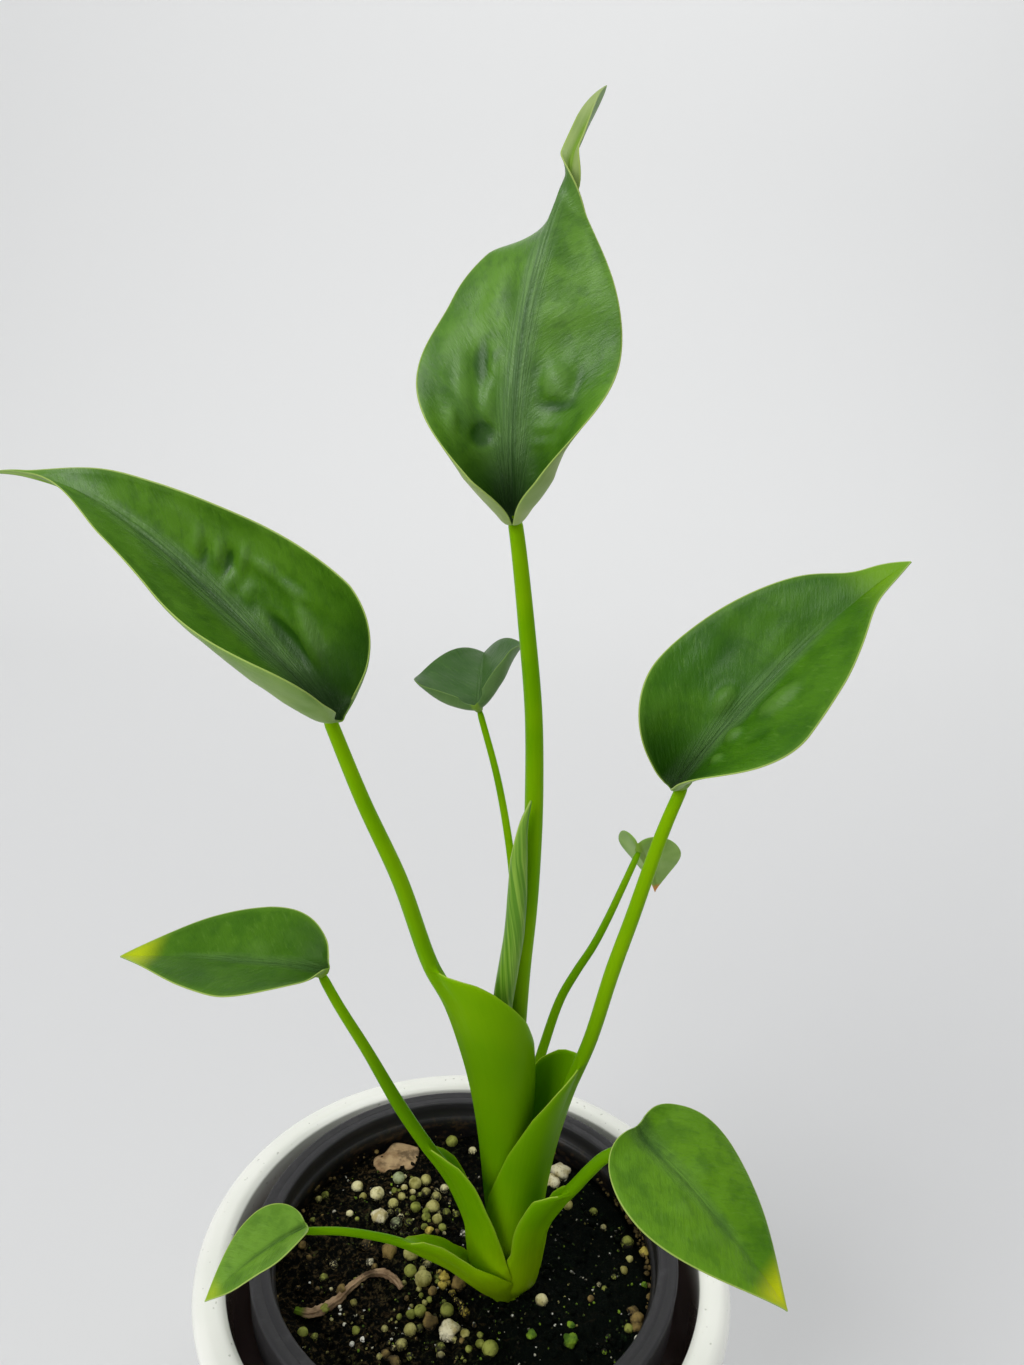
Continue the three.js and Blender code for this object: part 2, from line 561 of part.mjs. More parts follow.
function halfWidth(leaf, t) {
  const rounded = Math.max(0, 1 - Math.max(0, 1 - t / leaf.widest) ** leaf.roundness);
  const x = THREE.MathUtils.clamp((t - leaf.widest) / (leaf.bodyEnd - leaf.widest), 0, 1);
  const body = t < leaf.widest
    ? rounded ** (1 / leaf.roundness)
    : Math.max(0, 1 - x ** leaf.fullness) ** leaf.taper;
  const closing = THREE.MathUtils.clamp((t - TAIL_CLOSES) / (1 - TAIL_CLOSES), 0, 1);
  const tail = (leaf.tail / 2) * ease(x) * (1 - closing ** 1.6);
  return Math.hypot((leaf.width / 2) * body, tail);
}

// Value at t from its base, middle and tip values
function threeWay([base, middle, tip], t) {
  const turning = 0.45;
  return t < turning
    ? between(base, middle, ease(t / turning))
    : between(middle, tip, ease((t - turning) / (1 - turning)));
}

function footAxes(leaf) {
  const [az, el, roll] = [leaf.heading, leaf.rise, leaf.roll].map(radians);
  const ahead = new THREE.Vector3(Math.cos(el) * Math.cos(az), Math.cos(el) * Math.sin(az),
    Math.sin(el));
  const level = new THREE.Vector3(Math.sin(az), -Math.cos(az), 0);
  const above = new THREE.Vector3().crossVectors(level, ahead);
  const up = above.clone().multiplyScalar(Math.cos(roll)).addScaledVector(level, Math.sin(roll));
  const side = level.clone().multiplyScalar(Math.cos(roll))
    .addScaledVector(above, -Math.sin(roll));
  return { ahead, side, up };
}

// Directions along, across and out of the blade at a distance s from the foot
function axesAt(leaf, foot, s) {
  const x = Math.max(0, s / leaf.length);
  const pitch = s >= 0
    ? radians(leaf.lift * x + leaf.hook * x ** 3)
    : radians((leaf.scoop * s) / leaf.behind);
  const yaw = radians(leaf.sway * x ** 2 + leaf.curve * x ** 4);
  const twisted = ease((x - leaf.twistFrom) / (leaf.twistTo - leaf.twistFrom));
  const spin = radians(leaf.twist * twisted + leaf.turn * x);
  const level = foot.ahead.clone().multiplyScalar(Math.cos(yaw))
    .addScaledVector(foot.side, Math.sin(yaw));
  const across = foot.side.clone().multiplyScalar(Math.cos(yaw))
    .addScaledVector(foot.ahead, -Math.sin(yaw));
  const ahead = level.clone().multiplyScalar(Math.cos(pitch))
    .addScaledVector(foot.up, Math.sin(pitch));
  const above = foot.up.clone().multiplyScalar(Math.cos(pitch))
    .addScaledVector(level, -Math.sin(pitch));
  const side = across.clone().multiplyScalar(Math.cos(spin)).addScaledVector(above, -Math.sin(spin));
  const up = above.clone().multiplyScalar(Math.cos(spin)).addScaledVector(across, Math.sin(spin));
  return { ahead, side, up };
}

function midribPoint(leaf, foot, s) {
  const steps = 24;
  const point = new THREE.Vector3(...leaf.foot);
  for (let k = 0; k < steps; k += 1) {
    const { ahead } = axesAt(leaf, foot, (s * (k + 0.5)) / steps);
    point.addScaledVector(ahead, s / steps);
  }
  return point;
}

// Points of the blade's middle surface: rows from the back edge to the tip, columns across
function bladeGrid(leaf) {
  const foot = footAxes(leaf);
  const grid = [];
  for (let i = 0; i <= leaf.along; i += 1) {
    const u = i / leaf.along;
    const spaced = 0.5 * u + 0.25 * (1 - Math.cos(Math.PI * u));
    const t = between(0.005, 0.992, spaced);
    const s = between(-leaf.behind, leaf.length, t);
    const middle = midribPoint(leaf, foot, s);
    const { ahead, side, up } = axesAt(leaf, foot, Math.max(0, s));
    const reach = halfWidth(leaf, t);
    const fold = threeWay(leaf.fold, t);
    const drop = leaf.drop
      ? leaf.drop * ease((t - leaf.dropFrom) / 0.1) * ease((DROP_ENDS - t) / 0.1)
      : 0;
    const curl = radians(threeWay(leaf.curl, t)) || 1e-4;
    const row = [];
    for (let j = -leaf.across; j <= leaf.across; j += 1) {
      const v = Math.abs(j) / leaf.across;
      const tilt = radians(j < 0 ? fold - drop : fold);
      const out = (reach * (Math.sin(tilt + curl * v) - Math.sin(tilt))) / curl;
      const rise = (reach * (Math.cos(tilt) - Math.cos(tilt + curl * v))) / curl;
      const share = Math.min(1, (v * reach) / (leaf.width / 2));
      const back = leaf.lobe * Math.sin(Math.PI * share) * Math.max(0, 1 - t / leaf.widest);
      row.push(middle.clone().addScaledVector(side, Math.sign(j) * out)
        .addScaledVector(up, rise).addScaledVector(ahead, -back));
    }
    grid.push(row);
  }
  return grid;
}

function gridNormals(grid) {
  const last = grid.length - 1;
  return grid.map((row, i) => row.map((_, j) => {
    const lengthwise = grid[Math.min(i + 1, last)][j].clone().sub(grid[Math.max(i - 1, 0)][j]);
    const crosswise = row[Math.min(j + 1, row.length - 1)].clone().sub(row[Math.max(j - 1, 0)]);
    return crosswise.cross(lengthwise).normalize();
  }));
}

// extra grows the blade on every side, to cut room for it
function bladeGeometry(leaf, extra = 0) {
  const grown = { ...leaf, width: leaf.width + 2 * extra, behind: leaf.behind + extra };
  const grid = bladeGrid(grown);
  const normals = gridNormals(grid);
  const half = BLADE_THICKNESS / 2 + extra;
  const relief = (i, j) => (j === leaf.across ? MIDRIB_RELIEF * (1 - i / leaf.along) : 0);
  const upper = grid.map((row, i) => row.map((p, j) => (
    p.clone().addScaledVector(normals[i][j], half))));
  const lower = grid.map((row, i) => row.map((p, j) => (
    p.clone().addScaledVector(normals[i][j], -half - relief(i, j)))));
  return shellGeometry(upper, lower);
}

// Stalks

// The stalk's middle line ends just under the blade
function stalkCurve(leaf) {
  const points = leaf.path.map((p) => new THREE.Vector3(...p));
  if (leaf.foot) {
    const { up } = footAxes(leaf);
    points.push(new THREE.Vector3(...leaf.foot).addScaledVector(up, -0.5));
  }
  return new THREE.CatmullRomCurve3(points, false, 'centripetal');
}

// Where along the curve a height lies; every stalk rises all the way
function placeAtHeight(curve, height) {
  let [low, high] = [0, 1];
  for (let k = 0; k < 24; k += 1) {
    const middle = (low + high) / 2;
    if (curve.getPointAt(middle).z < height) low = middle;
    else high = middle;
  }
  return (low + high) / 2;
}

function stationPlaces(curve, sheath, spacing) {
  const places = sheath.slice(1).map(([height]) => placeAtHeight(curve, height));
  const start = places.length ? places[places.length - 1] : 0;
  const count = Math.max(3, Math.round(((1 - start) * curve.getLength()) / spacing));
  for (let k = 1; k <= count; k += 1) places.push(between(start, 1, k / count));
  return [0, ...places];
}

// A cross-section of the stalk: a round rod that widens below into a wrapped sheath
function stalkRing(curve, place, leaf, extra) {
  const middle = curve.getPointAt(place);
  const tangent = place === 0 ? new THREE.Vector3(0, 0, 1) : curve.getTangentAt(place);
  const facing = new THREE.Vector3(Math.cos(radians(leaf.facing)), Math.sin(radians(leaf.facing)), -0.7);
  const out = facing.addScaledVector(tangent, -facing.dot(tangent)).normalize();
  const side = new THREE.Vector3().crossVectors(tangent, out);
  const radius = along(leaf.girth, middle.z) + extra;
  const { sheath } = leaf;
  const wrapped = sheath.length > 0 && middle.z <= sheath[sheath.length - 1][0] + 1e-3;
  const wrap = sheath.length ? along(sheath, middle.z) : PLAIN_WRAP;
  const reach = [2, 3].map((column) => {
    const cover = wrapped ? radians(along(sheath, middle.z, column)) * wrap : 0;
    return Math.max(radius, cover + extra);
  });
  const thin = SHEATH_THICKNESS / 2 + extra;
  const half = 4;
  const outer = [];
  const inner = [];
  for (let k = -half; k <= half; k += 1) {
    const width = reach[k < 0 ? 0 : 1];
    const x = EDGE_SHARE * width * Math.sin((Math.PI / 2) * (k / half));
    const round = Math.sqrt(Math.max(0, radius * radius - x * x));
    const thick = width > radius ? Math.max(thin, round) : round;
    const angle = x / wrap;
    const at = (distance) => middle.clone().addScaledVector(out, distance * Math.cos(angle) - wrap)
      .addScaledVector(side, distance * Math.sin(angle));
    outer.push(at(wrap + thick));
    inner.unshift(at(wrap - thick));
  }
  return [...outer, ...inner];
}

function stalkGeometry(leaf, extra = 0) {
  const curve = stalkCurve(leaf);
  const rings = stationPlaces(curve, leaf.sheath, STATION_SPACING)
    .map((place) => stalkRing(curve, place, leaf, extra));
  return ringGeometry(rings);
}

// The rolled leaf: a spindle whose section winds like a scroll
function budGeometry(extra = 0) {
  const curve = stalkCurve(BUD);
  const count = 12;
  const places = BUD.girth.slice(1).map(([height]) => placeAtHeight(curve, height));
  const rings = [0, 0.2, 0.4, ...places].sort((a, b) => a - b).map((place) => {
    const middle = curve.getPointAt(place);
    const tangent = place === 0 ? new THREE.Vector3(0, 0, 1) : curve.getTangentAt(place);
    const out = new THREE.Vector3(1, 0, 0).addScaledVector(tangent, -tangent.x).normalize();
    const side = new THREE.Vector3().crossVectors(tangent, out);
    const radius = along(BUD.girth, middle.z) + extra;
    return Array.from({ length: count }, (_, k) => {
      const turn = k / count;
      const angle = 2 * Math.PI * (turn + BUD.seamTurns * place);
      const r = radius * (1 - BUD.overlap * turn);
      return middle.clone().addScaledVector(out, r * Math.cos(angle))
        .addScaledVector(side, r * Math.sin(angle));
    });
  });
  return ringGeometry(rings);
}

// Blades first, then the stalks from the middle of the nest outwards: each gives way to the
// blade that it carries and to the stalks inside it
function foliage() {
  const taken = [];
  const bud = solidOf(budGeometry());
  addPiece(BUD.name, geometryOf(bud), COLOURS.youngLeaf);
  taken.push(solidOf(budGeometry(GAP)));
  for (const leaf of LEAVES) {
    addPiece(`${leaf.name}_blade`, closed(bladeGeometry(leaf)), COLOURS.leaf);
    let stalk = solidOf(stalkGeometry(leaf)).subtract(solidOf(bladeGeometry(leaf, GAP)));
    for (const neighbour of taken) stalk = stalk.subtract(neighbour);
    addPiece(`${leaf.name}_stalk`, geometryOf(largestBody(stalk)), COLOURS.stalk);
    taken.push(solidOf(stalkGeometry(leaf, GAP)));
  }
}

whitePot();
blackPot();
corm();
soil();
dryPieces();
foliage();

export default plant;
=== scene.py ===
"""A potted tiny dancer alocasia, dressed for its picture: fine leaves, stalks, soil and pots
that stand where the solids of the frame stand. Sizes are in millimetres up to the moment when a
mesh is made; Blender's own unit is the metre."""

import math

import bmesh
import bpy
import numpy as np
from mathutils import Matrix, Vector


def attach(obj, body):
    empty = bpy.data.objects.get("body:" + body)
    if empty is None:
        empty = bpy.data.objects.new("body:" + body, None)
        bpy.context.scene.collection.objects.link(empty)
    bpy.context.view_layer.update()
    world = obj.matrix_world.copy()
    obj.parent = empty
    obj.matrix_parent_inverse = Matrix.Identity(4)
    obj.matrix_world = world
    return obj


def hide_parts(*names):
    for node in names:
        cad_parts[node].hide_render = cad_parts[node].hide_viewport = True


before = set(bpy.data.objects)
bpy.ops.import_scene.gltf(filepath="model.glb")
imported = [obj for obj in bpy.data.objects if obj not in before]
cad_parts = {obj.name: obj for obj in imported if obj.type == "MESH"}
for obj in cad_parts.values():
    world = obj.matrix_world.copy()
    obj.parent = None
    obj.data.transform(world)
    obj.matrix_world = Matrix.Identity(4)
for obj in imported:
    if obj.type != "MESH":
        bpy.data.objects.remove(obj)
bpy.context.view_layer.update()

MM = 0.001

# The camera, solved from the ellipses of the two pot rims
CAMERA = {
    "place": (4.6, -194.7, 296.0), "pitch_down": 16.9, "yaw": -0.2, "roll": 3.05,
    "focal_pixels": 1026, "picture_height": 1365, "sensor": 36.0,
}

# The backdrop and the light, in metres: each lamp's place, aim, size across and power
BACKDROP = {"front": -3.0, "depth": 1.4, "bend": 0.6, "height": 3.0, "half_width": 4.0}
SKY = {"colour": (0.95, 0.97, 1.0, 1), "strength": 0.4}
LAMPS = {
    "window_left": ((-1.0, -0.95, 1.05), (0, 0.1, 0.2), 0.9, 13.5),
    "overhead": ((0.3, 0.2, 1.8), (0, 0.1, 0.1), 1.2, 6.5),
    "backdrop_wash": ((0.35, 0.3, 1.6), (0.2, 1.4, 0.45), 1.2, 4),
}

# The pots, the soil and the nest of stalks
WHITE_POT = {
    "wall": 61.4, "lip": 62.4, "crown": 57.5, "mouth": 55.1,
    "height": 97.5, "lip_height": 94.0, "foot_round": 3.0, "floor": 7.0, "floor_round": 4.0,
}
BLACK_POT = {
    "rim": 50.0, "rim_inner": 45.2, "height": 100.0, "band_foot": 89.0, "band_step": 3.0,
    "wall": 1.2, "foot": 36.5, "foot_height": 7.3, "floor_lift": 2.5, "foot_ring": 3.5,
    "ledge_height": 95.5, "ledge_width": 1.1,
    "drain_holes": 6, "drain_radius": 3.5, "drain_circle": 22.0,
}
SOIL = {"top": 89.6, "relief": 0.7, "edge": 45.0, "skirt": 8.0}
NEST = {"x": 9.9, "y": -5.0, "hole": 6.9}
CORM = {"bottom": 70.0, "top": 88.0, "top_radius": 5.2, "shoulder_radius": 5.6,
        "shoulder_height": 83.0, "tip_radius": 2.5}

# What lies on the soil, as (x, y, radius) by kind
GRAINS = {
    "cream": [
        (-29.5, 22.6, 1.6), (-24, 20.3, 1.9), (-6.8, 24.1, 1.2), (-9, 0.3, 1.1), (-3.7, -23.3, 1),
        (18.4, -8.4, 1.5), (-0.3, 38.2, 1.2), (34.3, 14.1, 0.9),
    ],
    "grey_green": [(-19, 25, 1.6), (-18.1, 12.4, 1.6)],
    "tan": [
        (-14.6, 24.4, 1.7), (-11.9, 26.2, 1.5), (-11.5, 22.7, 1.3), (-8.8, 21.4, 1.4),
        (-19.5, 17.9, 1.4), (-9.2, 17.4, 1.8), (-7.8, 13.2, 1.3), (-13.1, 2.2, 1.8),
        (-9.4, -5.6, 2), (-11, -18, 1.5), (-12.6, -21.3, 1.4), (25.3, 19.8, 1.4),
    ],
    "olive": [
        (-13.6, 16.8, 1.4), (-14.8, 12.8, 1.1), (-10.6, 13.7, 1.1), (-5.7, 16.4, 1.1),
        (-3.1, 16.1, 0.9), (-12.7, -2.8, 1.5), (-9.3, -13.2, 1.4), (-3.2, -12.6, 1.6),
        (-3.9, -21.3, 1.2), (2.3, -22.2, 0.8), (7, -21.9, 1.8), (-34.5, -20.7, 1.2),
        (-6.1, 39.8, 1.6), (32.1, 19.1, 1.1), (40.1, 10.2, 1.7), (33.3, -4.4, 0.7),
        (35.9, -0.3, 0.7),
    ],
    "brown": [
        (-24.4, 5.5, 1.2), (-6.8, -15.6, 1.8), (-1.2, -5.1, 1.7), (-40.2, 21.7, 1),
        (-39.6, 2.6, 0.9), (-37.2, -0.5, 0.8), (-28.1, -9, 1.2), (-13.6, -25.3, 1.4),
        (-18.5, 2.3, 1.8), (40.4, -11.8, 1.7), (40, -14, 1.4), (39.6, -9.6, 1.1),
    ],
    "yellow": [
        (-9.4, 9.5, 1.1), (-4.7, -3.6, 1.2), (-4.9, -6.1, 1), (-0.3, -9.8, 0.8), (1.1, -12.2, 1),
        (43.8, 6.9, 1.2), (-5.9, -2.2, 0.8), (-3.6, -5, 0.8), (-2.5, -7.4, 0.8), (-1.4, -9, 0.7),
        (0.4, -11.2, 0.8),
    ],
    "white": [
        (-0.9, 10.2, 1), (-21, -21.5, 0.7), (-23.3, -22.3, 0.6), (-27.6, -13.5, 0.4),
        (-25.7, -17.7, 0.5), (-33.9, 14, 0.6), (11.7, -12.7, 0.5), (21.5, -14.4, 0.4),
        (40.2, -17.4, 1.2),
    ],
    "algae": [
        (-29.8, 35.5, 0.8), (42.9, -3.2, 0.7), (25.1, -14.9, 0.9), (33.5, -16.3, 0.6),
        (32.3, -19.7, 0.7), (16, -17.9, 1.1), (24.8, -18.8, 1.6),
    ],
}
GRAIN_COLOURS = {
    "cream": ((228, 220, 168), (176, 166, 104)), "grey_green": ((168, 176, 132), (112, 120, 74)),
    "tan": ((184, 178, 108), (130, 124, 60)), "olive": ((150, 156, 70), (98, 104, 34)),
    "brown": ((138, 116, 64), (88, 72, 38)), "yellow": ((222, 200, 96), (164, 144, 54)),
    "white": ((236, 234, 220), (200, 196, 168)), "algae": ((124, 156, 34), (66, 100, 18)),
    "perlite": ((232, 224, 188), (186, 172, 118)),
}
PERLITE = [(23.6, 31.9, 2.6), (21.4, 27.8, 2), (-22.3, 13.1, 2.2),
           (-2.7, -17.6, 2.3), (-22.6, 0, 1.1)]

# Small grains between the large ones: middle and half spread of each swarm, and how many
SWARMS = [
    ((-13, 18), (8, 9), 130), ((-9, -3), (6, 9), 50), ((-6, -19), (11, 6), 46),
    ((-30, -8), (9, 16), 20), ((-33, 14), (6, 9), 8), ((36, 0), (7, 18), 10),
]
SWARM_RADIUS = (0.35, 1.15)
# How far from the pots' axis small grains, specks and crumbs may lie
SMALL_BITS_REACH = 43
SPECKS = {"middle": (2, -6), "spread": (40, 36), "radius": (0.1, 0.38), "count": 1000}
PEAT_CRUMBS = {"count": 420, "radius": (0.35, 1.1), "reach": 42.5}
# The dirt along the wall: from the reach of climbs_from on it may also stick to the wall
RIM_DIRT = {"count": 260, "radius": (0.15, 0.7), "reach": (43.6, 45.9), "height": 90.4,
            "climbs_from": 45, "climb": (-0.6, 1.6)}
DRY_STALK = {
    "route": [(-37.5, -15), (-33.5, -15.5), (-29, -12.3), (-26, -8), (-22.8, -4.6),
              (-19.5, -3.6), (-16.2, -5.2), (-14.2, -7.6)],
    "radius": 1.25, "height": 90.6, "green_end": (-34.5, -36.5),
}
DRY_SCRAP = {"at": (-20.5, 33.5), "length": 13.0, "width": 9.0, "heading": 35, "height": 89.8}


def grown(**leaf):
    """A leaf's fields, with the values that most leaves share."""
    usual = {"body_end": 1, "tail": 0, "twist_from": 0.6, "twist_to": 1, "drop": 0,
             "drop_from": 0, "waist": 0, "stalk_short": 0.1}
    return usual | leaf


# The leaves, with the fields of the part's source: the foot is where the stalk meets the blade,
# path is the stalk's middle line, girth is (height, radius), sheath is (height, wrap radius,
# angle covered clockwise of the facing side, angle covered anticlockwise). Two fields are the
# scene's own: waist narrows a blade before its tip, stalk_short ends a stalk below its foot.
LEAVES = [
    grown(
        name="leaf_1_tall", stalk_short=1.9, foot=(2.2, 8.7, 270), heading=69, rise=99, roll=20,
        length=87.5, behind=3.6, width=39.6, widest=0.13, roundness=1.3, fullness=4.7, taper=2,
        body_end=0.75, tail=5.4, lift=-19, hook=-46, sway=73, curve=-49.5, twist=-183,
        twist_from=0.64, twist_to=0.77, turn=-55, fold=(-1.5, -22.5, -56), curl=(178, 17.5, -10),
        drop=28.5, drop_from=0.55, scoop=80, lobe=0, facing=60,
        path=[(10.4, -4.3, 88.3), (10.2, -3.8, 100), (9.3, -2.8, 114), (9, -1.5, 134),
              (8.9, 0, 150), (9.2, 1.8, 170), (9.9, 3, 186), (10, 3.9, 200), (9.7, 4.5, 212),
              (8.6, 5.5, 229), (6, 6.9, 248), (3.8, 8.2, 262)],
        girth=[(88, 0.9), (100, 1.4), (114, 1.75), (150, 2.1), (212, 1.95), (248, 1.7),
               (270, 1.45)],
        sheath=[]),
    grown(
        name="leaf_2_left", foot=(-30.6, -9.6, 231.7), heading=163, rise=39, roll=-35, length=86,
        behind=4.1, width=52, widest=0.18, roundness=2.25, fullness=1.21, taper=1.1, body_end=0.9,
        tail=2.2, lift=13, hook=-52, sway=-15, curve=-22, twist=62, turn=-17,
        fold=(28, 21.5, 35.5), curl=(80, 56.5, 10), scoop=80, lobe=-1.5, facing=210,
        path=[(7.9, -6.2, 88.3), (6.8, -6.7, 98), (4.9, -6.4, 114), (2.7, -6.1, 134),
              (0.8, -6.5, 146), (-1.5, -7, 156), (-5.5, -7.5, 168.6), (-9.8, -8, 177),
              (-16.5, -9, 196.8), (-24, -9.9, 214.2)],
        girth=[(88, 0.5), (114, 0.7), (146, 1.3), (170, 1.75), (197, 1.65), (232, 1.35)],
        sheath=[(88, 2.3, 150, 150), (97, 3.4, 150, 150), (106, 4, 150, 150), (114, 4.4, 150, 150),
                (125, 5, 150, 150), (135, 5.8, 148, 150), (145, 6.8, 146, 148),
                (154, 7.6, 134, 142), (160, 7.9, 106, 127), (165, 8, 72, 107), (169, 8, 46, 88),
                (172, 8, 26, 69), (174.5, 8, 10, 45), (176.5, 8, 10, 12)]),
    grown(
        name="leaf_3_right", foot=(38.8, -2.9, 218.7), heading=-6, rise=59, roll=46, length=61,
        behind=2.6, width=38, widest=0.29, roundness=1.9, fullness=1.83, taper=1, lift=-11,
        hook=-5, sway=14.5, curve=-2.5, twist=-23, turn=4.5, fold=(42, 20.5, 22.5),
        curl=(45, 3, 2), scoop=76, lobe=-1.2, waist=1.5, facing=-5,
        path=[(13.2, -5.3, 88.3), (15.2, -5.4, 97), (16.4, -5.4, 108), (17, -5.2, 119),
              (18.3, -5, 131), (21, -5, 145.5), (24.9, -4.5, 158.5), (28.5, -4, 175.7),
              (31.4, -4, 187.8), (36.2, -3.8, 208.5)],
        girth=[(88, 0.5), (119, 0.9), (146, 1.5), (176, 1.6), (200, 1.45), (219, 1.25)],
        sheath=[(88, 3.3, 140, 140), (92, 4.2, 140, 140), (97, 5.3, 140, 140),
                (108, 6.5, 140, 142), (119, 7.1, 134, 142), (131, 6.8, 114, 136),
                (141, 6.3, 90, 124), (147, 6, 64, 104), (151, 6, 40, 70), (153.5, 6, 12, 16)]),
    grown(
        name="leaf_4_back", foot=(-4.3, 48.2, 215.2), heading=90, rise=7, roll=-23, length=37,
        behind=3.9, width=35.3, widest=0.17, roundness=2.4, fullness=1.83, taper=0.83, lift=9,
        hook=-19, sway=-1, curve=-2, twist=4, turn=7, fold=(12.5, 27, 36.5), curl=(66, 4, 12.5),
        scoop=80, lobe=0, facing=112,
        path=[(8.3, -1, 88.3), (7.8, 0.7, 98), (8.7, 4.4, 111), (9.1, 9, 131), (8.6, 14.5, 149),
              (7.9, 21, 163.9), (7.1, 27, 175.2), (5.5, 32, 184.6), (1.6, 40, 199.4)],
        girth=[(88, 0.5), (111, 0.9), (131, 1.1), (175, 1), (215, 0.8)],
        sheath=[(88, 4.3, 30, 30), (98, 5.9, 28, 28), (111, 6.6, 26, 26), (117, 6.6, 20, 20),
                (122, 6.6, 8, 8)]),
    grown(
        name="leaf_5_back_small", foot=(41.6, 66, 170.2), heading=60, rise=-47, roll=-5.5,
        length=26.5, behind=2.9, width=21, widest=0.34, roundness=2, fullness=1.5, taper=1.4,
        lift=-4, hook=-8.5, sway=-3, curve=-1, twist=7, turn=0.5, fold=(33, 21.5, 27),
        curl=(14, 7, 5.5), scoop=37, lobe=0.9, facing=52,
        path=[(12.5, -1.6, 88.3), (13.5, -0.2, 98), (13.6, 3.5, 110), (13.2, 7.5, 122),
              (14, 12.5, 133), (16.7, 20.4, 139.8), (20.2, 28.6, 146.3), (24.1, 34.4, 150.6),
              (28.3, 40.2, 154.4), (32.2, 47, 158.6), (36.8, 56, 164.2)],
        girth=[(88, 0.5), (110, 1), (133, 1.25), (147, 1.1), (170, 0.9)],
        sheath=[(88, 4.3, 30, 30), (98, 5.9, 28, 28), (110, 6.8, 26, 26), (117, 6.8, 20, 20),
                (123, 6.8, 10, 10)]),
    grown(
        name="leaf_6_low_left", foot=(-31.3, -15.9, 179.4), heading=166, rise=-3.5, roll=-19.5,
        length=45, behind=2.8, width=24.7, widest=0.37, roundness=2.1, fullness=1.55, taper=0.93,
        lift=-8, hook=9, sway=-8, curve=-4.5, twist=9.5, turn=2.5, fold=(25, 17, 17),
        curl=(12, -2, -2.5), scoop=72, lobe=-0.9, facing=205,
        path=[(7.7, -6, 88.3), (7, -6.4, 90), (5.7, -7, 92), (3.9, -7.8, 95), (2.7, -8.3, 98),
              (1.4, -8.5, 103), (0.6, -9.3, 112.2), (-1.5, -10.2, 119.8), (-4.4, -11.2, 127.4),
              (-8.9, -12.2, 135), (-14.9, -13.4, 145.9), (-22, -14.8, 160.7),
              (-27.6, -15.6, 171.4)],
        girth=[(88, 0.5), (112, 0.9), (128, 1.4), (146, 1.4), (160, 1.15), (179, 0.95)],
        sheath=[(88, 2.4, 62, 90), (90, 3.2, 62, 90), (92, 4.6, 62, 90), (95, 6.7, 60, 88),
                (98, 7.55, 60, 84), (103, 8.5, 60, 74), (112, 8.6, 56, 60), (119, 7.6, 58, 60),
                (125.5, 6.2, 58, 66), (130, 5, 50, 66), (134, 4.4, 26, 46), (136, 4.2, 8, 10)]),
    grown(
        name="leaf_8_low_right", foot=(35.1, -30.6, 154.8), heading=-41.5, rise=-20, roll=4.5,
        length=36.5, behind=3.9, width=30, widest=0.31, roundness=2.36, fullness=1.73, taper=1.11,
        lift=-13, hook=-14.5, sway=-6, curve=0.5, twist=-3.5, turn=-9.5, fold=(5.5, 8.5, 10),
        curl=(0, -16, -8), scoop=53, lobe=1.2, facing=-30,
        path=[(12.2, -6.3, 88.3), (12.8, -6.7, 90), (14.1, -7.4, 92), (15.7, -8.4, 95),
              (16.4, -8.8, 98), (16.8, -9.6, 104), (17, -11.2, 111), (17.9, -13.6, 119),
              (20.3, -16.2, 126.4), (22.8, -19, 133), (25.3, -22, 140), (27.8, -25, 146.2),
              (31, -28.2, 151)],
        girth=[(88, 0.5), (110, 1), (122, 1.4), (140, 1.3), (155, 1.1)],
        sheath=[(88, 2.6, 100, 57), (90, 3.4, 100, 57), (92, 4.85, 100, 57), (95, 6.7, 100, 57),
                (98, 7.5, 100, 57), (103, 7.6, 72, 58), (109, 7.4, 58, 56), (115, 6.6, 66, 56),
                (121, 5.6, 74, 54), (126, 4.8, 84, 46), (130, 4.4, 60, 24), (132, 4.4, 8, 8)]),
    grown(
        name="leaf_7_lowest", foot=(-32.9, -27.3, 126.3), heading=213.5, rise=-7, roll=-0.5,
        length=22, behind=0.9, width=15.2, widest=0.31, roundness=2.14, fullness=1.66, taper=1.13,
        lift=-28, hook=-2, sway=-2.5, curve=2, twist=-7, turn=0, fold=(28.5, 21, 10),
        curl=(11.5, 5, -8), scoop=51, lobe=0.2, facing=245,
        path=[(8.7, -7.6, 88.3), (7.4, -10, 92.5), (4.9, -12.4, 96.8), (2.2, -14, 100.8),
              (-0.6, -14.9, 104.2), (-3.5, -15.9, 107.6), (-7.4, -17.5, 111.2),
              (-13.6, -20, 116.7), (-18.7, -22, 120), (-25.4, -24.6, 123.4)],
        girth=[(88, 0.5), (99, 0.9), (108, 1.2), (116, 0.95), (126, 0.75)],
        sheath=[(88, 2.6, 55, 80), (92.5, 4.9, 64, 74), (96.8, 7.3, 80, 58), (100.8, 7.4, 78, 50),
                (104.2, 6, 80, 44), (107.6, 4.8, 86, 48), (111.2, 4, 84, 62), (114.5, 3.6, 56, 56),
                (116.5, 3.4, 12, 12)]),
]

# The newest leaf, still rolled up: path is its middle line, girth is (height, radius)
BUD = {
    "name": "leaf_9_furled",
    "path": [(9, -6, 88.3), (7.6, -5.7, 100), (6.5, -5, 114), (5.8, -3.5, 138),
             (5.5, -2.6, 155.8), (5.8, -2, 165.6), (6.6, -1.6, 174), (7.3, -1.2, 181),
             (7.5, -0.8, 190), (7.4, -0.2, 199), (7.9, 0.1, 206.5), (9.1, 0.4, 211.5)],
    "girth": [(88, 0.6), (100, 0.9), (150, 1.6), (160, 2.2), (168, 2.4), (180, 2.3), (190, 2.2),
              (199, 1.9), (206.5, 1.05), (211.5, 0.25)],
    "overlap": 0.16, "seam_turns": 0.6,
}

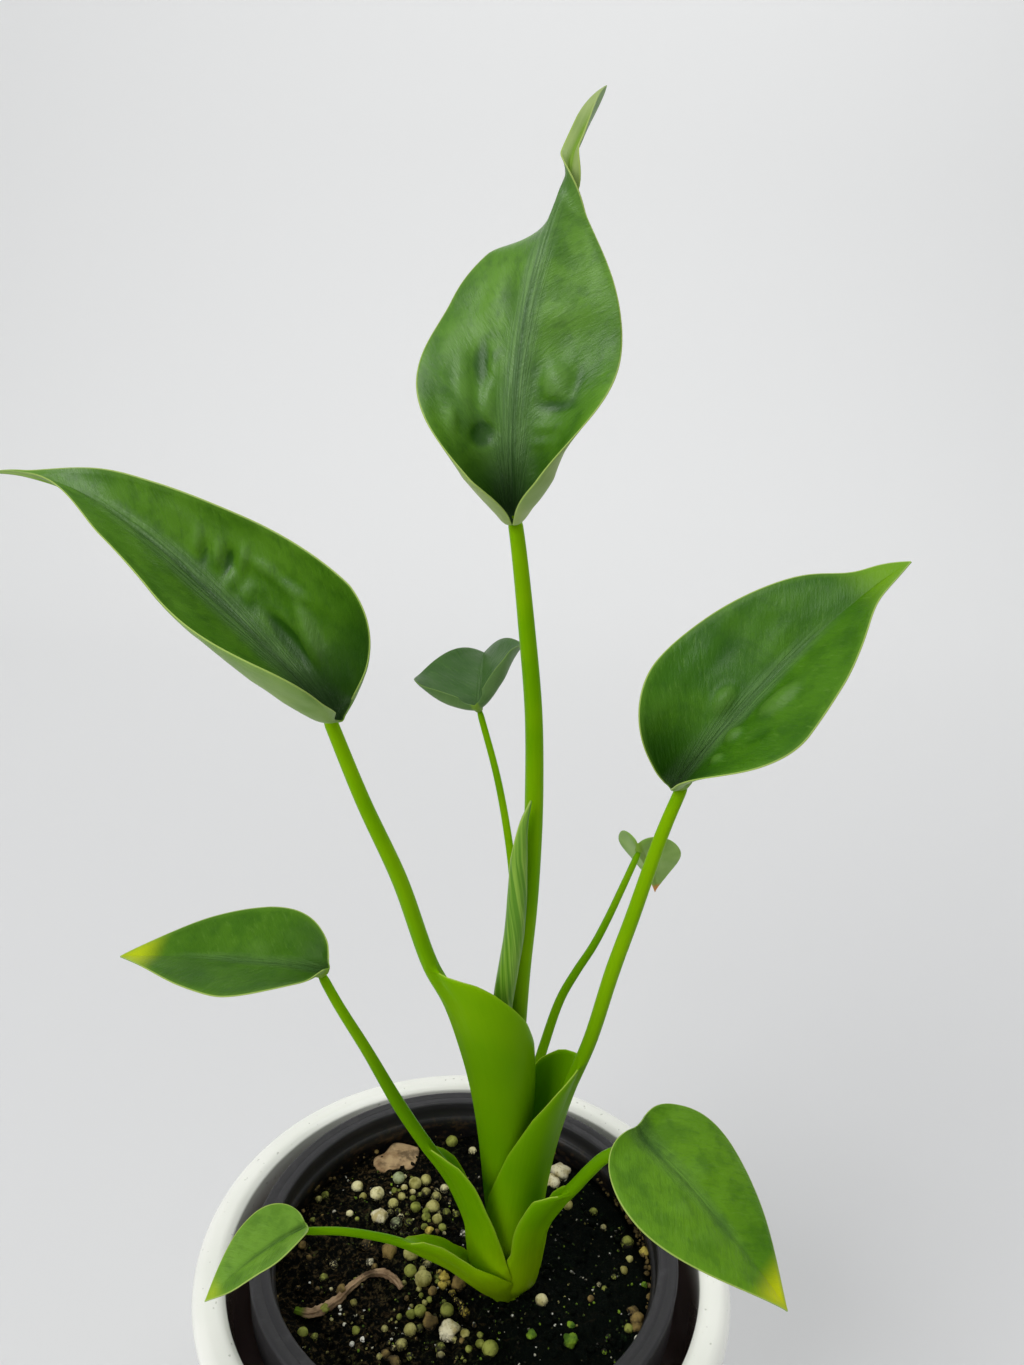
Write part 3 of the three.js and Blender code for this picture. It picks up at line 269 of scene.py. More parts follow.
# Swellings and hollows of the blades: place across and along, half widths across and along,
# height, and how far the form leans towards the tip on the right
RIPPLES = {
    "leaf_1_tall": [
        (-10.6, 22.5, 1.6, 5.5, 0.8, 14), (-5.2, 20, 1.4, 3.2, 0.75, 10),
        (-4.8, 26.5, 1.2, 3.4, 0.5, 16), (-14.5, 29, 2.6, 5, 0.5, 14),
        (-12.6, 17, 1.6, 2, 0.5, 10), (-6, 14.2, 2.6, 2.2, -1, 0), (-5.5, 41, 2.5, 6, -0.4, 20),
        (-8, 27, 1.6, 5, -0.45, 14), (-8, 36, 2.2, 3, 0.4, 20), (7.6, 24.6, 3, 3.2, 1.1, 0),
        (8.4, 20.6, 3.8, 1.5, -0.7, 6), (11.8, 25.5, 1.4, 4, -0.35, -10), (4, 25, 1.3, 5, -0.3, 0),
        (7, 33, 4, 3, -0.4, 20), (8, 38, 4.5, 2.6, 0.4, 20), (7.2, 16.4, 3.2, 1, 0.34, 10),
        (6.8, 13.2, 3.2, 0.9, 0.27, 10),
    ],
    "leaf_2_left": [
        (6.2, 40.5, 2.8, 0.9, 0.6, 24), (7, 36, 3, 0.9, 0.8, 24), (9.6, 31.6, 3, 0.9, 0.9, 24),
        (7, 33.6, 3, 0.8, -0.7, 24), (5, 38, 2.4, 0.7, -0.5, 24), (11.5, 27.6, 1.4, 2.6, 0.7, 10),
        (4.4, 15, 1.6, 6, -1.3, -4), (8.2, 13.4, 1.7, 7, 1.2, -27), (12.4, 21, 1.3, 4, 0.6, 16),
        (5, 27, 2, 1.3, 0.5, 24), (4.6, 31, 2, 1.1, 0.5, 24), (-8, 30, 4, 6, 0.4, 0),
    ],
    "leaf_3_right": [
        (-3.9, 18.5, 1.9, 2.8, 1.4, 10), (5.8, 25.8, 1.8, 4.4, 1.3, -12),
        (4, 15, 1.5, 2, 1.2, -10), (7.6, 9.6, 1.6, 1.6, 1.1, -10), (1.8, 19.5, 0.9, 4, -0.4, 0),
        (-11, 29, 2.2, 7, -0.45, 14), (-4, 33, 2, 5, 0.3, 12), (9.4, 19, 1.4, 4, -0.35, -12),
    ],
    "leaf_8_low_right": [
        (-4.4, 10, 2.2, 2.4, 0.42, 10), (5.4, 12, 2.2, 2.6, 0.42, -10),
        (-4, 17, 2, 2.4, 0.28, 10), (4.8, 19, 2, 2.4, 0.28, -10),
    ],
    "leaf_6_low_left": [(3.8, 15, 1.8, 2.6, 0.35, -10), (-4, 21, 2, 3, 0.28, 10)],
}

# How finely blades are cut, as (rows, columns a side), and from which width on they are large
LARGE_CUT, SMALL_CUT, LARGE_WIDTH = (150, 34), (90, 22), 28
# A blade's half thickness inside and at its edge, the bevel between them, the groove over its
# midrib, and as shares of its length where fold and curl turn to their second value, where a
# tail closes and where a waist lies
BLADE = {"half": 0.26, "edge": 0.1, "bevel": 1.2, "groove_depth": 0.3, "groove_width": 0.7,
         "turning": 0.45, "tail_closes": 0.85, "waist": 0.85, "waist_spread": 0.07}
# The keel below a midrib: its least half width, and how far behind the foot it starts
KEEL = {"least": 0.35, "start": 2.2}
# A sheath's half thickness, its share of that at the margin, and how far in it thins out
SHEATH = {"half": 0.35, "margin_share": 0.35, "thins_over": 1.5}
# Points of a section: of one side of a stalk, and round the rolled leaf and the dry stalk
SECTION_POINTS = {"stalk": 29, "bud": 60, "dry_stalk": 26}


# Small helpers

def linear(red, green, blue):
    """Blender's linear colour from the usual 0 to 255 values."""
    shares = [value / 255 for value in (red, green, blue)]
    return tuple(s / 12.92 if s <= 0.04045 else ((s + 0.055) / 1.055) ** 2.4 for s in shares) + (1,)


def ease(t):
    """A soft step from 0 at 0 to 1 at 1."""
    c = np.clip(t, 0, 1)
    return c * c * (3 - 2 * c)


def rows_at(rows, x, column=1):
    """Value at x in rows of (x, value, ...), straight between the rows."""
    return np.interp(x, [row[0] for row in rows], [row[column] for row in rows])


def unit(vectors):
    """The vectors with length 1."""
    return vectors / np.maximum(np.linalg.norm(vectors, axis=-1, keepdims=True), 1e-9)


def scatter(cells, seed):
    """A repeatable number from 0 to 1 for each whole-numbered cell."""
    mixed = cells[..., 0] * 127.1 + cells[..., 1] * 311.7 + cells[..., 2] * 74.7 + seed * 13.9
    value = np.sin(mixed) * 43758.5453
    return value - np.floor(value)


def noise(points, size, seed=0):
    """Smooth noise from -1 to 1 that changes over about size millimetres."""
    scaled = np.asarray(points, float) / size
    cell = np.floor(scaled)
    part = ease(scaled - cell)
    total = np.zeros(scaled.shape[:-1])
    for corner in np.ndindex(2, 2, 2):
        share = np.prod(np.where(np.array(corner) == 1, part, 1 - part), axis=-1)
        total += share * scatter(cell + np.array(corner), seed)
    return 2 * total - 1


def around(count):
    """Angles in equal steps round a circle."""
    return np.arange(count) / count * 2 * math.pi


def turned(points, angle):
    """The points, turned round the upright axis."""
    c, s = math.cos(angle), math.sin(angle)
    return points @ np.array([[c, -s, 0], [s, c, 0], [0, 0, 1]]).T


def smooth_route(points, per_stretch=24):
    """A centripetal Catmull-Rom curve through the points."""
    p = np.array(points, float)
    p = np.concatenate([[2 * p[0] - p[1]], p, [2 * p[-1] - p[-2]]])
    t = np.linspace(0, 1, per_stretch, endpoint=False)[:, None]
    found = []
    for k in range(1, len(p) - 2):
        a, b, c, d = p[k - 1:k + 3]
        before, here, after = (max(math.sqrt(np.linalg.norm(q - r)), 1e-4)
                               for q, r in ((b, a), (c, b), (d, c)))
        start = ((b - a) / before - (c - a) / (before + here) + (c - b) / here) * here
        stop = ((c - b) / here - (d - b) / (here + after) + (d - c) / after) * here
        found.append(b + start * t + (3 * (c - b) - 2 * start - stop) * t ** 2
                     + (2 * (b - c) + start + stop) * t ** 3)
    return np.concatenate(found + [p[-2:-1]])


def evenly(route, spacing):
    """The route cut into places an equal distance apart."""
    steps = np.linalg.norm(np.diff(route, axis=0), axis=1)
    distance = np.concatenate([[0], np.cumsum(steps)])
    count = max(8, round(distance[-1] / spacing))
    wanted = np.linspace(0, distance[-1], count + 1)
    return np.column_stack([np.interp(wanted, distance, route[:, k]) for k in range(3)])


def upward_directions(route):
    """Directions along a route that starts straight up."""
    ahead = unit(np.gradient(route, axis=0))
    ahead[0] = (0, 0, 1)
    return ahead


# Meshes

def grid_faces(rows, columns, wrap=False, flip=False):
    """Quads between rows of points."""
    i, j = np.meshgrid(np.arange(rows - 1), np.arange(columns if wrap else columns - 1),
                       indexing="ij")
    following = (j + 1) % columns
    quads = np.stack([i * columns + j, i * columns + following, (i + 1) * columns + following,
                      (i + 1) * columns + j], axis=-1).reshape(-1, 4)
    return quads[:, ::-1] if flip else quads


def tube_faces(rings, sides):
    """Faces of a tube with flat ends."""
    ends = [tuple(range(sides))[::-1], tuple(range((rings - 1) * sides, rings * sides))]
    return [*grid_faces(rings, sides, wrap=True), *ends]


def shell_faces(rows, columns):
    """Faces of a closed sheet: an upper grid, a lower grid and the walls round them."""
    size = rows * columns
    rim = list(range(columns)) + [r * columns + columns - 1 for r in range(1, rows)]
    rim += [(rows - 1) * columns + c for c in range(columns - 2, -1, -1)]
    rim += [r * columns for r in range(rows - 2, 0, -1)]
    walls = [(b, a, a + size, b + size) for a, b in zip(rim, rim[1:] + rim[:1])]
    return [*grid_faces(rows, columns), *grid_faces(rows, columns, flip=True) + size, *walls]


def make_piece(name, points, faces, materials, slot, nodes, places=None, indices=None):
    """A smooth-shaded object from points in millimetres that stands for nodes of the frame."""
    mesh = bpy.data.meshes.new(name)
    mesh.from_pydata((np.asarray(points) * MM).tolist(), [], [tuple(f) for f in faces])
    for material in materials:
        mesh.materials.append(material)
    if indices is not None:
        mesh.polygons.foreach_set("material_index", np.asarray(indices, np.int32))
    for title, values in (places or {}).items():
        values = np.asarray(values, np.float32)
        kind = "FLOAT_VECTOR" if values.ndim == 2 else "FLOAT"
        layer = mesh.attributes.new(title, kind, "POINT")
        layer.data.foreach_set("vector" if values.ndim == 2 else "value", values.ravel())
    mesh.validate()
    mesh.shade_smooth()
    piece = bpy.data.objects.new(name, mesh)
    bpy.context.scene.collection.objects.link(piece)
    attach(piece, "root")
    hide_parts(*nodes)
    return piece


def revolved(profile, sides):
    """Points and faces of a profile of (radius, height) turned round the upright axis."""
    ring = np.stack([np.cos(around(sides)), np.sin(around(sides))], axis=-1)
    points = np.concatenate([
        np.column_stack([ring * radius, np.full(sides, height)]) for radius, height in profile])
    return points, grid_faces(len(profile), sides, wrap=True)


def rounded_corner(x, y, radius, start, stop, steps):
    """Points of an arc round (x, y), by angle in degrees."""
    angles = np.radians(np.linspace(start, stop, steps + 1))
    return [(x + radius * math.cos(a), y + radius * math.sin(a)) for a in angles]


def finely(profile, spacing):
    """The same profile with more points on its long stretches."""
    fine = [profile[0]]
    for start, stop in zip(profile, profile[1:]):
        count = max(1, round(math.dist(start, stop) / spacing))
        for k in range(1, count + 1):
            fine.append((start[0] + (stop[0] - start[0]) * k / count,
                         start[1] + (stop[1] - start[1]) * k / count))
    return fine


# Materials

class Finish:
    """A procedural material, built with short calls; its colour is laid on in coats."""

    def __init__(self, name):
        self.material = bpy.data.materials.new(name)
        self.material.use_nodes = True
        self.tree = self.material.node_tree
        self.surface = self.tree.nodes["Principled BSDF"]
        self.colour = None

    def feed(self, socket, value):
        if isinstance(value, bpy.types.NodeSocket):
            self.tree.links.new(value, socket)
        else:
            socket.default_value = value

    def node(self, kind, inputs=None, **settings):
        node = self.tree.nodes.new(kind)
        for key, value in settings.items():
            setattr(node, key, value)
        for key, value in (inputs or {}).items():
            self.feed(node.inputs[key], value)
        return node

    def math(self, operation, *values):
        return self.node("ShaderNodeMath", dict(enumerate(values)), operation=operation).outputs[0]

    def times(self, first, *others):
        """The values multiplied with each other."""
        for other in others:
            first = self.math("MULTIPLY", first, other)
        return first

    def rising(self, value, low, high):
        """0 below low, 1 above high, smooth between; high may be the lower one."""
        return self.node("ShaderNodeMapRange", {0: value, 1: low, 2: high, 3: 0.0, 4: 1.0},
                         interpolation_type="SMOOTHSTEP").outputs[0]

    def beyond(self, value, low, high):
        """Rising for a distance in the scene, with low and high in millimetres."""
        return self.rising(value, low * MM, high * MM)

    def mix(self, factor, a, b):
        return self.node("ShaderNodeMix", {0: factor, 6: a, 7: b}, data_type="RGBA").outputs[2]

    def ground(self, mask, first, second):
        """The ground colour: the first where the mask is 0, the second where it is 1."""
        self.colour = self.mix(mask, linear(*first), linear(*second))

    def tint(self, shade, *masks):
        """A coat of another colour, as strong as the masks multiplied with each other."""
        self.colour = self.mix(self.times(*masks), self.colour, linear(*shade))

    def place(self):
        return self.node("ShaderNodeTexCoord").outputs["Object"]

    def parts(self, vector):
        return self.node("ShaderNodeSeparateXYZ", {0: vector}).outputs

    def from_axis(self):
        """Distance from the pots' axis, in metres."""
        flat = self.node("ShaderNodeVectorMath", {0: self.place(), 1: (1, 1, 0)},
                         operation="MULTIPLY").outputs[0]
        return self.node("ShaderNodeVectorMath", {0: flat}, operation="LENGTH").outputs[1]

    def noise(self, scale, vector=None, detail=3.0, roughness=0.55):
        vector = vector or self.place()
        return self.node("ShaderNodeTexNoise", {"Vector": vector, "Scale": scale,
                         "Detail": detail, "Roughness": roughness}).outputs["Fac"]

    def plane_noise(self, x, y, detail=3.0, roughness=0.55):
        """Noise over two values as a plane."""
        flat = self.node("ShaderNodeCombineXYZ", {0: x, 1: y}).outputs[0]
        return self.noise(1.0, flat, detail, roughness)

    def streaks(self, scale, vector, stretch, detail=3.0, roughness=0.55):
        """Noise that is drawn out by the stretch along each axis."""
        drawn = self.node("ShaderNodeMapping", {"Vector": vector, "Scale": stretch}).outputs[0]
        return self.noise(scale, drawn, detail, roughness)

    def attribute(self, name, output="Fac"):
        return self.node("ShaderNodeAttribute", attribute_name=name).outputs[output]

    def bump(self, height, distance, strength=1.0):
        node = self.node("ShaderNodeBump", {"Height": height, "Distance": distance,
                                            "Strength": strength})
        self.feed(self.surface.inputs["Normal"], node.outputs[0])

    def finished(self, **values):
        """The material with its colour and the given values of its shader."""
        for key, value in {"base_color": self.colour, **values}.items():
            self.feed(self.surface.inputs[key.replace("_", " ").title().replace("Ior", "IOR")],
                      value)
        return self.material


def blade_top(name, green, light, tip, zone, gloss=0.2, haze=(0.8, 1, 0.6), lining=0.35, cup_shade=0.0,
              margin=1.0):
    """A leaf's upper side: fine lines spreading from the foot, a faint net, painted shade in the
    hollows, in the cup at its base and along the midrib, and painted light on the swellings. The
    zone is the half width of the lined band along the midrib."""
    f = Finish(name)
    across, lengthwise, share = f.parts(f.attribute("place", "Vector"))
    from_rib = f.math("ABSOLUTE", across)
    edge = f.attribute("edge")
    hollow = f.attribute("hollow")
    spread = f.math("DIVIDE", across, f.math("ADD", lengthwise, 7.0))
    streaks = f.plane_noise(f.times(spread, 70.0), f.times(lengthwise, 0.06), detail=4)
    slant = f.math("SUBTRACT", lengthwise, f.times(from_rib, 0.8))
    net = f.plane_noise(f.times(slant, 0.9), f.times(across, 0.35), detail=5, roughness=0.65)
    cloud = f.noise(55.0, detail=2)
    f.ground(f.rising(cloud, 0.35, 0.65), green, light)
    f.tint((42, 90, 2), f.rising(f.noise(170.0, detail=4), 0.45, 0.62), 0.4)
    f.tint((40, 84, 8), f.rising(f.noise(420.0, detail=4), 0.5, 0.75), 0.3)
    f.tint((44, 90, 14), f.rising(net, 0.52, 0.7), 0.3)
    f.tint((112, 154, 60), f.rising(net, 0.45, 0.3), 0.25)
    # painted shade in the hollows of the relief, painted light on its swellings
    f.tint((30, 78, 0), f.rising(hollow, 0.05, 0.8), 0.8)
    f.tint((106, 150, 60), f.rising(hollow, -0.1, -0.9), 0.35)
    reach = f.math("MULTIPLY_ADD", share, -0.8 * zone, zone)
    fan = f.math("ABSOLUTE", f.math("DIVIDE", across, reach))
    near_rib = f.times(f.rising(fan, 1.5, 0.1), f.rising(share, 0.85, 0.45))
    f.tint((112, 150, 86), near_rib, lining)
    lines = f.times(near_rib, f.rising(streaks, 0.56, 0.42))
    f.tint((56, 98, 40), lines, 0.8 * lining)
    # painted shadow: a dark thread along the midrib's groove
    thread = f.times(f.rising(from_rib, 0.45, 0.1), f.rising(share, 0.9, 0.3))
    f.tint((40, 78, 30), thread, 0.1 + 0.4 * lining)
    # painted shade in the cup at the blade's base
    f.tint((24, 62, 4), f.rising(share, 0.24, 0.05), cup_shade)
    f.tint(tip, f.rising(share, 0.78, 0.93), 0.95)
    f.tint((104, 150, 40), f.rising(edge, 1.6, 0.2), 0.3 * margin)
    f.tint((172, 196, 96), f.rising(edge, 0.28, 0.1), 0.8 * margin)
    f.bump(f.math("ADD", f.times(lines, -0.7), f.times(net, 1.3)), 0.00022, 0.8)
    return f.finished(roughness=f.math("MULTIPLY_ADD", cloud, 0.14, 0.31),
                      specular_ior_level=gloss, specular_tint=(*haze, 1))


def blade_under(name, pale, dark, tip=None, margin=1.0):
    """A leaf's underside: pale and duller, with raised lines."""
    f = Finish(name)
    place = f.attribute("place", "Vector")
    across, _, share = f.parts(place)
    streaks = f.streaks(1.0, place, (2.2, 0.05, 0), detail=2)
    f.ground(f.rising(f.noise(90.0), 0.3, 0.7), pale, dark)
    f.tint((160, 184, 120), f.rising(streaks, 0.55, 0.8), 0.25)
    f.tint((124, 160, 50), f.rising(f.math("ABSOLUTE", across), 1.4, 0.6))
    f.tint((172, 196, 96), f.rising(f.attribute("edge"), 0.28, 0.1), 0.8 * margin)
    f.tint(tip or pale, f.rising(share, 0.82, 0.9))
    f.bump(streaks, 0.0001, 0.4)
    return f.finished(roughness=0.5, specular_ior_level=0.2)


def stalk_finish():
    """Juicy yellow-green stalks with fine lines along them and thin, paler sheath margins."""
    f = Finish("stalk_green")
    place = f.attribute("place", "Vector")
    height = f.parts(place)[1]
    edge = f.attribute("edge")
    streaks = f.streaks(1.0, place, (2.4, 0.04, 0))
    f.ground(f.rising(f.noise(45.0, detail=2), 0.3, 0.7), (128, 174, 4), (104, 158, 0))
    f.tint((138, 178, 14), f.rising(streaks, 0.45, 0.75), 0.25)
    # painted light: the stalks brighter low down, at the nest
    f.tint((150, 190, 6), f.rising(height, 122, 96), 0.85)
    f.tint((84, 132, 0), f.rising(height, 180, 150), f.rising(height, 108, 135), 0.7)
    over_soil = f.rising(height, 101, 109)
    f.tint((140, 178, 40), f.rising(edge, 0.9, 0.15), over_soil, 0.4)
    f.tint((176, 202, 84), f.rising(edge, 0.2, 0.06), over_soil, 0.6)
    f.bump(streaks, 0.0001, 0.4)
    return f.finished(roughness=0.4, specular_ior_level=0.07, specular_tint=(0.7, 1, 0.1, 1),
                      subsurface_weight=0.25, subsurface_scale=0.003,
                      subsurface_radius=(0.7, 1, 0.05))


def bud_finish():
    """The rolled leaf: young green, with slanting veins, paler along its seam."""
    f = Finish("young_leaf_green")
    round_it, height, _ = f.parts(f.attribute("place", "Vector"))
    slant = f.math("ADD", round_it, f.times(height, 0.32))
    veins = f.plane_noise(f.times(slant, 1.5), f.times(height, 0.04))
    f.ground(f.rising(veins, 0.38, 0.62), (88, 138, 26), (134, 174, 58))
    f.tint((160, 190, 80), f.rising(f.attribute("edge"), 0.6, 0.1))
    f.bump(veins, 0.0003, 0.8)
    return f.finished(roughness=0.4, specular_ior_level=0.25)


def glaze_finish():
    """Warm white glaze with tiny pits, with painted shade inside where the pots face each other."""
    f = Finish("white_glaze")
    mouth, top = WHITE_POT["mouth"], WHITE_POT["height"]
    cloud = f.noise(35.0, detail=2)
    pits = f.rising(f.noise(700.0, detail=1), 0.7, 0.78)
    inside = f.beyond(f.from_axis(), mouth + 1.2, mouth + 0.2)
    f.ground(f.rising(cloud, 0.35, 0.7), (252, 252, 243), (246, 247, 237))
    f.tint((150, 146, 130), pits, 0.45)
    # painted shade: the inner wall darkens below the rim, where the two pots face each other
    f.tint((170, 146, 138), inside, f.beyond(f.parts(f.place())[2], top - 0.7, top - 14.5))
    f.bump(f.math("SUBTRACT", f.times(cloud, 0.4), pits), 0.00012, 0.6)
    return f.finished(roughness=0.16, coat_weight=0.4, coat_roughness=0.08)


def black_plastic_finish():
    """Recycled black plastic, lightly scuffed, with painted shade inside below the rim and dried
    dirt smears on the wall over the soil.
    """
    f = Finish("black_plastic")
    mouth, top = BLACK_POT["rim_inner"], BLACK_POT["height"]
    height = f.parts(f.place())[2]
    scuffs = f.streaks(160.0, f.place(), (1, 1, 6), detail=5, roughness=0.7)
    smears = f.rising(f.noise(420.0, detail=5, roughness=0.7), 0.5, 0.62)
    inside = f.beyond(f.from_axis(), mouth + 1, mouth + 0.3)
    f.ground(f.rising(scuffs, 0.5, 0.8), (40, 39, 41), (62, 60, 62))
    # painted shade: the inner wall turns nearly black just below the rim
    f.tint((13, 12, 11), inside, f.beyond(height, top - 0.7, top - 2.5), 0.85)
    f.tint((60, 46, 30), smears, f.beyond(height, top - 2.5, top - 7.5), inside)
    f.bump(f.noise(1500.0, detail=2), 0.00006, 0.5)
    return f.finished(roughness=f.math("MULTIPLY_ADD", scuffs, 0.25, 0.36), specular_ior_level=0.4)


def soil_finish():
    """Nearly black peat, brown with fibres on the left, green with algae on the right."""
    f = Finish("potting_mix")
    to_the_right = f.parts(f.place())[0]
    crumbs = f.noise(900.0, detail=6, roughness=0.7)
    patches = f.noise(130.0)
    fibres = f.rising(f.streaks(260.0, f.place(), (1, 5, 1), detail=4), 0.6, 0.7)
    # the crumb tops lighter: partly the peat's own brown, partly painted highlight
    f.ground(f.rising(crumbs, 0.5, 0.75), (3, 5, 3), (58, 50, 32))
    f.tint((80, 62, 38), fibres, 0.4)
    f.tint((5, 12, 7), f.beyond(to_the_right, -4, 20), 0.8)
    f.tint((112, 94, 62), f.beyond(to_the_right, 0, -20), f.rising(crumbs, 0.5, 0.66), 0.4)
    f.tint((26, 52, 24), f.rising(patches, 0.48, 0.66), f.rising(crumbs, 0.52, 0.68), 0.8)
    f.tint((96, 128, 30), f.rising(patches, 0.58, 0.72), f.rising(crumbs, 0.62, 0.7), 0.7)
    f.bump(crumbs, 0.0012)
    return f.finished(roughness=0.6, specular_ior_level=0.05)


def grain_finish(name, kind):
    """A round clay or feed grain, or a lump of perlite, darker in patches low down where it meets
    the soil.
    """
    f = Finish(name)
    pits = f.noise(1800.0)
    low = f.beyond(f.parts(f.place())[2], SOIL["top"] + 1.6, SOIL["top"] + 0.3)
    f.ground(f.rising(f.noise(350.0), 0.4, 0.65), *GRAIN_COLOURS[kind])
    f.tint((50, 44, 24), f.rising(pits, 0.55, 0.7), 0.45)
    # darker in patches low down, where the grain meets the soil
    f.tint((26, 22, 14), low, f.rising(pits, 0.35, 0.5))
    f.bump(pits, 0.00025, 0.7)
    return f.finished(roughness=0.75, specular_ior_level=0.25)


def dry_finish(name, pale, dark):
    """Dead plant matter, streaked, with dark blotches, and green at the dry stalk's end."""
    f = Finish(name)
    streaks = f.streaks(300.0, f.place(), (1, 1, 4), detail=5)
    f.ground(f.rising(streaks, 0.35, 0.7), pale, dark)
    f.tint((58, 46, 34), f.rising(f.noise(240.0, detail=4), 0.5, 0.65), 0.7)
    f.tint((86, 112, 22), f.beyond(f.parts(f.place())[0], *DRY_STALK["green_end"]))
    f.bump(streaks, 0.0006)
    return f.finished(roughness=0.85, specular_ior_level=0.15)


def corm_finish():
    """The corm's brown skin with its rings."""
    f = Finish("corm_skin")
    rings = f.streaks(300.0, f.place(), (0.3, 0.3, 3), detail=5)
    f.ground(rings, (60, 42, 28), (132, 102, 70))
    f.bump(rings, 0.0005, 0.8)
    return f.finished(roughness=0.9)


# Pots

def white_pot(finish):
    """The glazed pot that the plant stands in."""
    p = WHITE_POT
    turn = p["height"] - p["lip_height"]
    profile = [
        (0.01, 0),
        *rounded_corner(p["wall"] - p["foot_round"], p["foot_round"], p["foot_round"], -90, 0, 8),
        (p["wall"], p["lip_height"] - 3 * turn),
        (p["wall"] + 0.5, p["lip_height"] - turn * 1.2),
        *rounded_corner(p["lip"] - turn, p["lip_height"], turn, 0, 80, 10),
        (p["crown"], p["height"]),
        (p["crown"] - 1.2, p["height"] - 0.15),
        *rounded_corner(p["mouth"] + 0.8, p["height"] - 1.6, 0.8, 110, 180, 5),
        *rounded_corner(p["mouth"] - p["floor_round"], p["floor"] + p["floor_round"],
                        p["floor_round"], 0, -90, 8),
        (0.01, p["floor"]),
    ]
    points, faces = revolved(finely(profile, 2.5), 160)
    out = points * np.array([1, 1, 0])
    wave = 0.12 * noise(points, 22, 3) + 0.05 * noise(points, 7, 4)
    points += unit(out) * wave[:, None] * (np.linalg.norm(out, axis=1) > 20)[:, None]
    make_piece("white_glazed_pot", points, faces, [finish], "glaze", ["white_pot"])


def black_radius(z):
    """Outer radius of the nursery pot's wall at a height."""
    p = BLACK_POT
    t = (z - p["foot_height"]) / (p["band_foot"] - p["foot_height"])
    return p["foot"] + (p["rim"] - p["band_step"] - p["foot"]) * t


def black_profile():
    """The nursery pot from the middle of its underside, up round the rim and down inside."""
    p = BLACK_POT
    foot, band, top = p["foot_height"], p["band_foot"], p["height"]
    floor = foot + p["floor_lift"]
    inner_floor = floor + p["wall"]
    ring = p["foot"] - p["foot_ring"]
    return [
        (0.01, floor), (ring - 0.5, floor), (ring, floor - 0.6),
        (ring, foot + 0.3), (ring + 0.4, foot), (p["foot"] - 0.5, foot), (p["foot"], foot + 0.5),
        (black_radius(band - 0.2), band - 0.2), (black_radius(band) + 0.2, band),
        (p["rim"] - 0.9, band + 0.1),
        *rounded_corner(p["rim"] - 0.9, band + 0.7, 0.6, -90, 0, 4),
        (p["rim"] - 0.1, top - 2.2),
        *rounded_corner(p["rim"] - 0.9, top - 0.9, 0.9, 0, 90, 6),
        (p["rim"] - 2.3, top - 0.05), (p["rim"] - 2.5, top - 0.25), (p["rim"] - 2.7, top - 0.05),
        *rounded_corner(p["rim_inner"] + 0.7, top - 0.7, 0.7, 90, 180, 5),
        (p["rim_inner"], p["ledge_height"] + 0.3),
        (p["rim_inner"] - 0.4, p["ledge_height"]),
        (p["rim_inner"] - p["ledge_width"], p["ledge_height"] - 0.5),
        (black_radius(band) - p["wall"], band - 1),
        (black_radius(inner_floor) - p["wall"] - 1, inner_floor), (0.01, inner_floor),
    ]


def black_pot(finish):
    """The nursery pot, with its drain holes drilled."""
    p = BLACK_POT
    points, faces = revolved(finely(black_profile(), 3), 180)
    pot = make_piece("nursery_pot", points, faces, [finish], "black_plastic",
                     ["black_nursery_pot"])
    weld_axis(pot)
    drills = []
    for turn in around(p["drain_holes"]):
        middle = (p["drain_circle"] * math.cos(turn), p["drain_circle"] * math.sin(turn),
                  p["foot_height"])
        bpy.ops.mesh.primitive_cylinder_add(vertices=40, radius=p["drain_radius"] * MM,
                                            depth=12 * MM, location=Vector(middle) * MM)
        drills.append(bpy.context.object)
    cut_with(pot, drills)


def weld_axis(piece):
    """Merges the points of a turned piece that lie on its axis."""
    work = bmesh.new()
    work.from_mesh(piece.data)
    on_axis = [v for v in work.verts if v.co.xy.length < 0.02 * MM]
    bmesh.ops.remove_doubles(work, verts=on_axis, dist=0.05 * MM)
    work.to_mesh(piece.data)
    work.free()


def cut_with(piece, tools):
    """Cuts the tools out of the piece and removes them."""
    for tool in tools:
        cut = piece.modifiers.new("cut", "BOOLEAN")
        cut.operation = "DIFFERENCE"
        cut.solver = "EXACT"
        cut.object = tool
    with bpy.context.temp_override(object=piece, active_object=piece):
        for cut in list(piece.modifiers):
            bpy.ops.object.modifier_apply(modifier=cut.name)
    for tool in tools:
        bpy.data.objects.remove(tool)


# Soil and what lies on it

def soil_height(x, y):
    """Height of the soil's gentle waves, which die out at the nest of stalks. The numbers in the
    waves are only there to keep them from repeating."""
    waves = (np.sin(x * 0.31 + 1.1) * np.cos(y * 0.27 - 0.4)
             + 0.6 * np.sin(x * 0.13 - y * 0.17 + 2) + 0.5 * np.cos(x * 0.47 + y * 0.39))
    from_nest = np.hypot(x - NEST["x"], y - NEST["y"])
    return SOIL["top"] + SOIL["relief"] * waves * ease((from_nest - NEST["hole"]) / 8)


